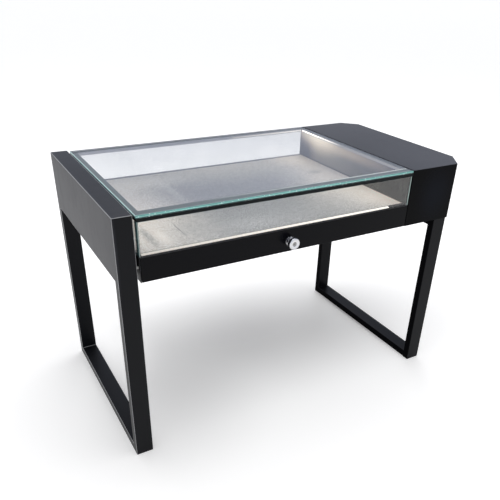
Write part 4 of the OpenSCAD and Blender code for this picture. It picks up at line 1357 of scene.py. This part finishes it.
# Studio: a pale floor with soft painted shade under the showcase, a white surround and two soft
# lamps

studio = {
    "floorColor": (0.9, 0.9, 0.905), "worldLevel": 0.5,
    "openLift": 0.465, "farLift": 0.5, "liftFrom": 1.0, "liftTo": 4.5, "mirrorShare": 0.45,
    # each shade lowers the floor's lift in a soft patch: painted shadow; the one with a negative
    # share raises it: painted light
    "shades": (
        ((0.05, 0.23, 0.0), (0.91, 0.59, 1.0), 0.43),
        ((-0.72, 0.24, 0.0), (0.79, 0.89, 1.0), 0.12),
        ((-0.44, -0.2, 0.0), (0.42, 0.34, 1.0), 0.13),
        ((-0.48, 0.3, 0.0), (0.18, 0.32, 1.0), -0.14),
        ((0.78, 0.02, 0.0), (0.68, 0.67, 1.0), 0.21),
    ),
    "surround": (0.965, 0.985, 1.07), "ceiling": (0.45, 0.485, 0.6), "ceilingFade": (0.06, 0.24),
}
lamps = {
    "overheadLamp": {"place": (0.1, 0.2, 5.0), "aim": (0, 0, 0), "size": 5.0, "power": 90},
    "keyLamp": {"place": (0.9, 1.6, 2.8), "aim": (0, 0, 0.3), "size": 1.8, "power": 22},
}


# the floor lifts to white only for rays that look at it, and is clear from below; the shades lower
# the lift under and beside the showcase: painted shadow
def makeFloor(settings):
    deselectAll()
    bpy.ops.mesh.primitive_plane_add(size=200, location=(0, 0, 0))
    floor = settle("studioFloor")
    material, tree, shader, position = newFinish("paleFloor", {
        "Roughness": 0.35, "Specular IOR Level": 0.12, "Emission Color": (1, 1, 1, 1)})
    color = settings["floorColor"]
    clouds = addGrain(tree, position, grainSize=0.01, cloudSize=1.5)["Clouds"]
    shade = mixColors(tree, clouds, tuple(c * 0.99 for c in color), color)
    level = rescale(tree, combine(tree, "LENGTH", position)["Value"], settings["liftFrom"],
                    settings["liftTo"], settings["openLift"], settings["farLift"])
    for place, reach, share in settings["shades"]:
        dimmed = scaled(tree, addMask(tree, position, place, reach), -share)
        level = calculate(tree, "ADD", level, dimmed, clamp=True)
    rays = addNode(tree, "LightPath").outputs
    mirrored = scaled(tree, rays["Is Glossy Ray"], settings["mirrorShare"])
    seen = calculate(tree, "MAXIMUM", rays["Is Camera Ray"], mirrored)
    seen = calculate(tree, "MAXIMUM", seen, rays["Is Transmission Ray"])
    lift = calculate(tree, "MULTIPLY", seen, level)
    feed(tree, shader, {"Base Color": shade, "Emission Strength": lift})
    facing = addNode(tree, "NewGeometry").outputs["Backfacing"]
    below = calculate(tree, "MULTIPLY", facing, rays["Is Camera Ray"])
    mixInClear(tree, shader, below, addNode(tree, "BsdfTransparent"))
    floor.data.materials.append(material)


def makeWorld(settings):
    world = bpy.data.worlds.new("studioWorld")
    bpy.context.scene.world = world
    world.use_nodes = True
    tree = world.node_tree
    rays = addNode(tree, "LightPath").outputs
    direction = addNode(tree, "TexCoord").outputs["Generated"]
    height = rescale(tree, axesOf(tree, direction)["Z"], *settings["ceilingFade"])
    mirrored = mixColors(tree, height, settings["surround"], settings["ceiling"])
    bounced = calculate(tree, "MAXIMUM", rays["Is Glossy Ray"], rays["Is Transmission Ray"])
    level = settings["worldLevel"]
    lit = mixColors(tree, bounced, (level, level, level * 1.01), mirrored)
    seen = mixColors(tree, rays["Is Camera Ray"], lit, (1, 1, 1))
    feed(tree, tree.nodes["Background"], {"Color": seen})


def addSoftLamp(name, settings):
    lamp = bpy.data.lights.new(name, "AREA")
    lamp.shape, lamp.size, lamp.energy = "SQUARE", settings["size"], settings["power"]
    holder = bpy.data.objects.new(name, lamp)
    bpy.context.scene.collection.objects.link(holder)
    away = Vector(settings["place"]) - Vector(settings["aim"])
    turn = away.to_track_quat("Z", "Y").to_matrix().to_4x4()
    holder.matrix_world = Matrix.Translation(settings["place"]) @ turn
    holder.visible_camera = False


makeFloor(studio)
makeWorld(studio)
for name, settings in lamps.items():
    addSoftLamp(name, settings)
bpy.context.scene.view_settings.view_transform = "Standard"
print("studio made")
